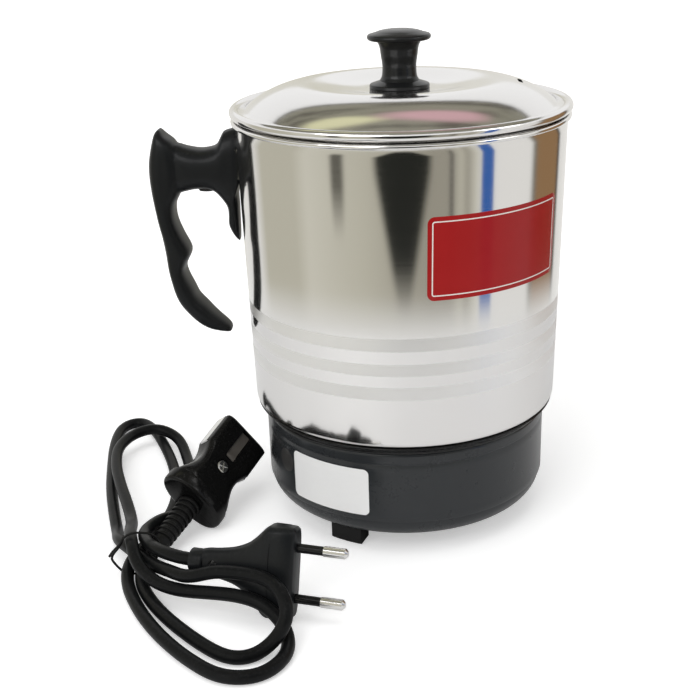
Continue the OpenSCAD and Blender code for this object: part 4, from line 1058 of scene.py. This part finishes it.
# each piece gets its body and the finish of its slot, and the CAD node that it stands for is hidden
def paint(piece, material):
    piece.data.materials.clear()
    piece.data.materials.append(material)


def dress(piece, body, slot, standsFor=None):
    paint(piece, materials[slot])
    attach(piece, body)
    if standsFor:
        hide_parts(standsFor)


for row in frame["record"]["subparts"]:
    paint(nodes[row["node"]], materials[row["material_slot"]])
paint(nodes["handle_screw"], extras["blackScrew"])

addRibs(sleeveCore, ribShape, materials["sleeve_rubber"], sleeveSettings)
connectorPieces = [connectorTop, connectorBottom, screwHead, windowStrip, sleeveCore]
plugPieces = [plugHead, plugCollar]
for pieces, where in ((connectorPieces, connectorMatrix), (plugPieces, plugMatrix)):
    for piece in pieces:
        place(piece, where)

for piece, body, slot, standsFor in (
        (cupShell, "kettle", "cup_steel", "cup"),
        (lidShell, "lid", "lid_steel", "lid"),
        (knobBody, "lid", "knob_plastic", "lid_knob"),
        (baseShell, "kettle", "base_plastic", "base_housing"),
        (collarShell, "kettle", "collar_plastic", "collar_ring"),
        (handleGrip, "kettle", "handle_plastic", "handle"),
        (connectorTop, "kettle", "connector_plastic", "connector_upper"),
        (connectorBottom, "kettle", "connector_plastic", "connector_lower"),
        (screwHead, "kettle", "fastener_steel", "connector_screw"),
        (windowStrip, "kettle", "pin_nickel", None),
        (sleeveCore, "kettle", "sleeve_rubber", "cord_sleeve"),
        (plugHead, "kettle", "plug_rubber", "plug_body"),
        (plugCollar, "kettle", "plug_rubber", None),
        (cordTube, "kettle", "cord_pvc", "cord")):
    dress(piece, body, slot, standsFor)
paint(windowStrip, extras["stripMetal"])
for label, name in ((steelPlate, "plateRed"), (steelBorder, "plateLine"), (basePaper, "paperWhite"),
                    (baseSeal, "sealDark")):
    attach(label, "kettle")
    paint(label, extras[name])
print("pieces dressed")

# studio: pale floor, white surround, soft lamps, and a curtain and a ceiling seen in glossy surfaces alone
floorSettings = dict(size=9.0, colour=grey(0.9), rough=0.6, near=0.15, far=1.1, nearGlow=0.4, farGlow=0.75)
worldSettings = dict(light=0.42, mirror=1.0)
lampAim = 0.08  # metres over the floor, on the cup's axis
lampSettings = dict(
    over=dict(at=(-0.1, -0.15, 1.15), size=0.8, power=4.0),
    front=dict(at=(-0.6, -0.9, 0.75), size=0.9, power=7.0),
    side=dict(at=(0.9, -0.35, 0.6), size=0.5, power=1.6))
# what the steel mirrors: a room's tones by the turn round the cup's axis, in degrees, with a few upright
# figures before them, dark or coloured, as wide in degrees at their foot and top as foot and top say
roomTones = dict(pale=(0.86, 0.85, 0.82), cream=(0.67, 0.65, 0.56), stone=(0.55, 0.53, 0.44),
                 dim=(0.36, 0.34, 0.28), shade=(0.2, 0.19, 0.16), wood=(0.3, 0.18, 0.09),
                 dark=(0.05, 0.045, 0.04))
curtainSettings = dict(
    distance=285, height=230, steps=180, fadeHeight=26, fadeTo=(0.88, 0.88, 0.86, 1),
    stops=((-200, "pale"), (-190, "stone"), (-160, "stone"), (-150, "cream"), (-112, "stone"), (-72, "dim"),
           (-60, "dim"), (-54, "stone"), (-50, "dim"), (-44, "cream"), (-38, "pale"), (-2, "pale"),
           (2, "shade"), (6, "wood"), (30, "wood"), (34, "dark"), (38, "pale"), (64, "pale"),
           (100, "cream"), (130, "pale")),
    figures=(
        dict(middle=-89, low=14, high=100, foot=2.4, top=16.5, fade=30, soft=4,
             colour=(0.02, 0.021, 0.018, 1)),
        dict(middle=-128.5, low=60, high=90, foot=3.2, top=4.0, fade=30, soft=3,
             colour=(0.12, 0.115, 0.095, 1)),
        dict(middle=-60, low=30, high=60, foot=1.0, top=1.4, fade=30, soft=1.5,
             colour=(0.16, 0.15, 0.13, 1)),
        dict(middle=-36.5, low=0, high=60, foot=4.2, top=4.2, fade=20, soft=1,
             colour=(0.03, 0.12, 0.42, 1))))
ceilingSettings = dict(
    height=480, middle=(10, -20), size=(1200, 720), sides=96, colour=(0.3, 0.29, 0.23, 1),
    edgeColour=(0.05, 0.045, 0.04, 1), edgeFrom=0.97, edgeTo=0.8,
    streaks=(0.12, 0.11, 0.09, 1), streakScale=5, streakDetail=3, streakStretch=3.2, streakFrom=0.5,
    streakTo=0.62, spotFrom=1, spotTo=0.3,
    spots=(dict(at=(-150, 60), reach=(150, 60), colour=(0.8, 0.78, 0.5, 1)),
           dict(at=(80, 90), reach=(150, 70), colour=(0.7, 0.44, 0.47, 1))))


def glowMaterial(name, colour, strength=1.0):
    material = bpy.data.materials.new(name)
    material.use_nodes = True
    tree = material.node_tree
    tree.nodes.clear()
    glow = node(tree, "ShaderNodeEmission", [(0, colour), (1, strength)])
    node(tree, "ShaderNodeOutputMaterial", [(0, glow.outputs[0])])
    return material


def makeFloor(s):
    half = s["size"] / 2 / mm
    corners = [(-half, -half, 0), (half, -half, 0), (half, half, 0), (-half, half, 0)]
    floor = addObject("studioFloor", corners, [(0, 1, 2, 3)])
    material = finish("floorPaint", colour=s["colour"], patch=s["colour"], rough=s["rough"], bump=0.0)
    tree = material.node_tree
    shader = tree.nodes["Principled BSDF"]
    shader.inputs["Emission Color"].default_value = (1, 1, 1, 1)
    where = node(tree, "ShaderNodeTexCoord").outputs["Object"]
    away = vectorNode(tree, "LENGTH", where)
    glow = mapped(tree, away, s["near"], s["far"], s["nearGlow"], s["farGlow"])
    seen = node(tree, "ShaderNodeLightPath").outputs["Is Camera Ray"]
    tree.links.new(mathNode(tree, "MULTIPLY", seen, glow), shader.inputs["Emission Strength"])
    floor.data.materials.append(material)


def mirrorOnly(piece, material):
    piece.data.materials.append(material)
    piece.visible_camera = False
    piece.visible_diffuse = False
    piece.visible_shadow = False
    piece.visible_transmission = False
    piece.visible_volume_scatter = False


def wrappedTones(stops):
    # the tones by their share of the turn, with the tone at its two ends, where it starts again
    turned = sorted(((a + 180) % 360 / 360, roomTones[tone]) for a, tone in stops)
    (last, lastTone), (first, firstTone) = turned[-1], turned[0]
    share = (1 - last) / (first + 1 - last)
    return turned, [a + (b - a) * share for a, b in zip(lastTone, firstTone)]


def makeCurtain(s):
    r, steps = s["distance"], s["steps"]
    turns = [2 * math.pi * i / steps for i in range(steps)]
    vertices = [(axisX + r * math.cos(a), r * math.sin(a), z) for z in (0.5, s["height"]) for a in turns]
    faces = [(i, (i + 1) % steps, (i + 1) % steps + steps, i + steps) for i in range(steps)]
    curtain = addObject("mirrorCurtain", vertices, faces)
    material = glowMaterial("mirrorCurtain", (1, 1, 1, 1))
    tree = material.node_tree
    x, y, z = axes(tree, node(tree, "ShaderNodeTexCoord").outputs["Object"])
    aside = mathNode(tree, "SUBTRACT", x, axisX * mm)
    degrees = mathNode(tree, "MULTIPLY", mathNode(tree, "ARCTAN2", y, aside), 180 / math.pi)
    ramp = node(tree, "ShaderNodeValToRGB", [(0, mapped(tree, degrees, -180, 180))])
    stops = ramp.color_ramp.elements
    turned, seam = wrappedTones(s["stops"])
    for stop, position in zip(stops, (0, 1)):
        stop.position, stop.color = position, (*seam, 1)
    for position, tone in turned:
        stops.new(position).color = (*tone, 1)
    colour = ramp.outputs[0]
    high = mathNode(tree, "MULTIPLY", z, 1 / mm)
    for f in s["figures"]:
        half = mapped(tree, high, f["low"], f["high"], f["foot"], f["top"])
        away = mathNode(tree, "ABSOLUTE", mathNode(tree, "SUBTRACT", degrees, f["middle"]))
        side = mapped(tree, mathNode(tree, "SUBTRACT", half, away), -f["soft"] / 2, f["soft"] / 2)
        rise = mapped(tree, high, f["low"], f["low"] + f["fade"])
        colour = mixColour(tree, mathNode(tree, "MULTIPLY", side, rise), colour, f["colour"])
    colour = mixColour(tree, mapped(tree, high, 0, s["fadeHeight"]), s["fadeTo"], colour)
    tree.links.new(colour, tree.nodes["Emission"].inputs[0])
    mirrorOnly(curtain, material)


def makeCeiling(s):
    (x, y), (w, d), z, sides = s["middle"], s["size"], s["height"], s["sides"]
    ring = [(axisX + x + a, y + b, z) for a, b in superRing(w / 2, d / 2, 2, sides)]
    ceiling = addObject("mirrorCeiling", ring, [tuple(range(sides))])
    material = glowMaterial("mirrorCeiling", s["colour"])
    tree = material.node_tree
    where = node(tree, "ShaderNodeTexCoord").outputs["Object"]
    across, deep = [mathNode(tree, "MULTIPLY", along, 1 / mm) for along in axes(tree, where)[:2]]

    def awayFrom(at, reach):
        u = mathNode(tree, "DIVIDE", mathNode(tree, "SUBTRACT", across, axisX + at[0]), reach[0])
        v = mathNode(tree, "DIVIDE", mathNode(tree, "SUBTRACT", deep, at[1]), reach[1])
        return mathNode(tree, "ADD", mathNode(tree, "MULTIPLY", u, u), mathNode(tree, "MULTIPLY", v, v))

    wide = vectorNode(tree, "MULTIPLY", where, (1, s["streakStretch"], 1))
    streaks = noise(tree, wide, s["streakScale"], s["streakDetail"])
    share = mapped(tree, streaks, s["streakFrom"], s["streakTo"])
    colour = mixColour(tree, share, s["colour"], s["streaks"])
    ragged = mathNode(tree, "SUBTRACT", streaks, 0.5)
    for spot in s["spots"]:
        share = mathNode(tree, "SUBTRACT", awayFrom(spot["at"], spot["reach"]), ragged)
        inside = mapped(tree, share, s["spotFrom"], s["spotTo"])
        colour = mixColour(tree, inside, colour, spot["colour"])
    rim = mapped(tree, awayFrom(s["middle"], (w / 2, d / 2)), s["edgeFrom"], s["edgeTo"])
    tree.links.new(mixColour(tree, rim, s["edgeColour"], colour), tree.nodes["Emission"].inputs[0])
    mirrorOnly(ceiling, material)


def makeWorld(s):
    world = bpy.data.worlds.new("surround")
    scene.world = world
    world.use_nodes = True
    tree = world.node_tree
    back = tree.nodes["Background"]
    back.inputs[0].default_value = (1, 1, 1, 1)
    path = node(tree, "ShaderNodeLightPath")
    camera, glossy = path.outputs["Is Camera Ray"], path.outputs["Is Glossy Ray"]
    level = mathNode(tree, "MULTIPLY_ADD", camera, 1 - s["light"], s["light"])
    level = mathNode(tree, "MULTIPLY_ADD", glossy, s["mirror"] - s["light"], level)
    tree.links.new(level, back.inputs[1])


def makeLamps(lamps):
    aim = Vector((axisX * mm, 0, lampAim))
    for name, s in lamps.items():
        data = bpy.data.lights.new(name, "AREA")
        data.size, data.energy = s["size"], s["power"]
        lamp = bpy.data.objects.new(name, data)
        lamp.location = s["at"]
        lamp.rotation_euler = (aim - Vector(s["at"])).to_track_quat("-Z", "Y").to_euler()
        scene.collection.objects.link(lamp)


makeFloor(floorSettings)
makeWorld(worldSettings)
makeCurtain(curtainSettings)
makeCeiling(ceilingSettings)
makeLamps(lampSettings)
print("studio lit")
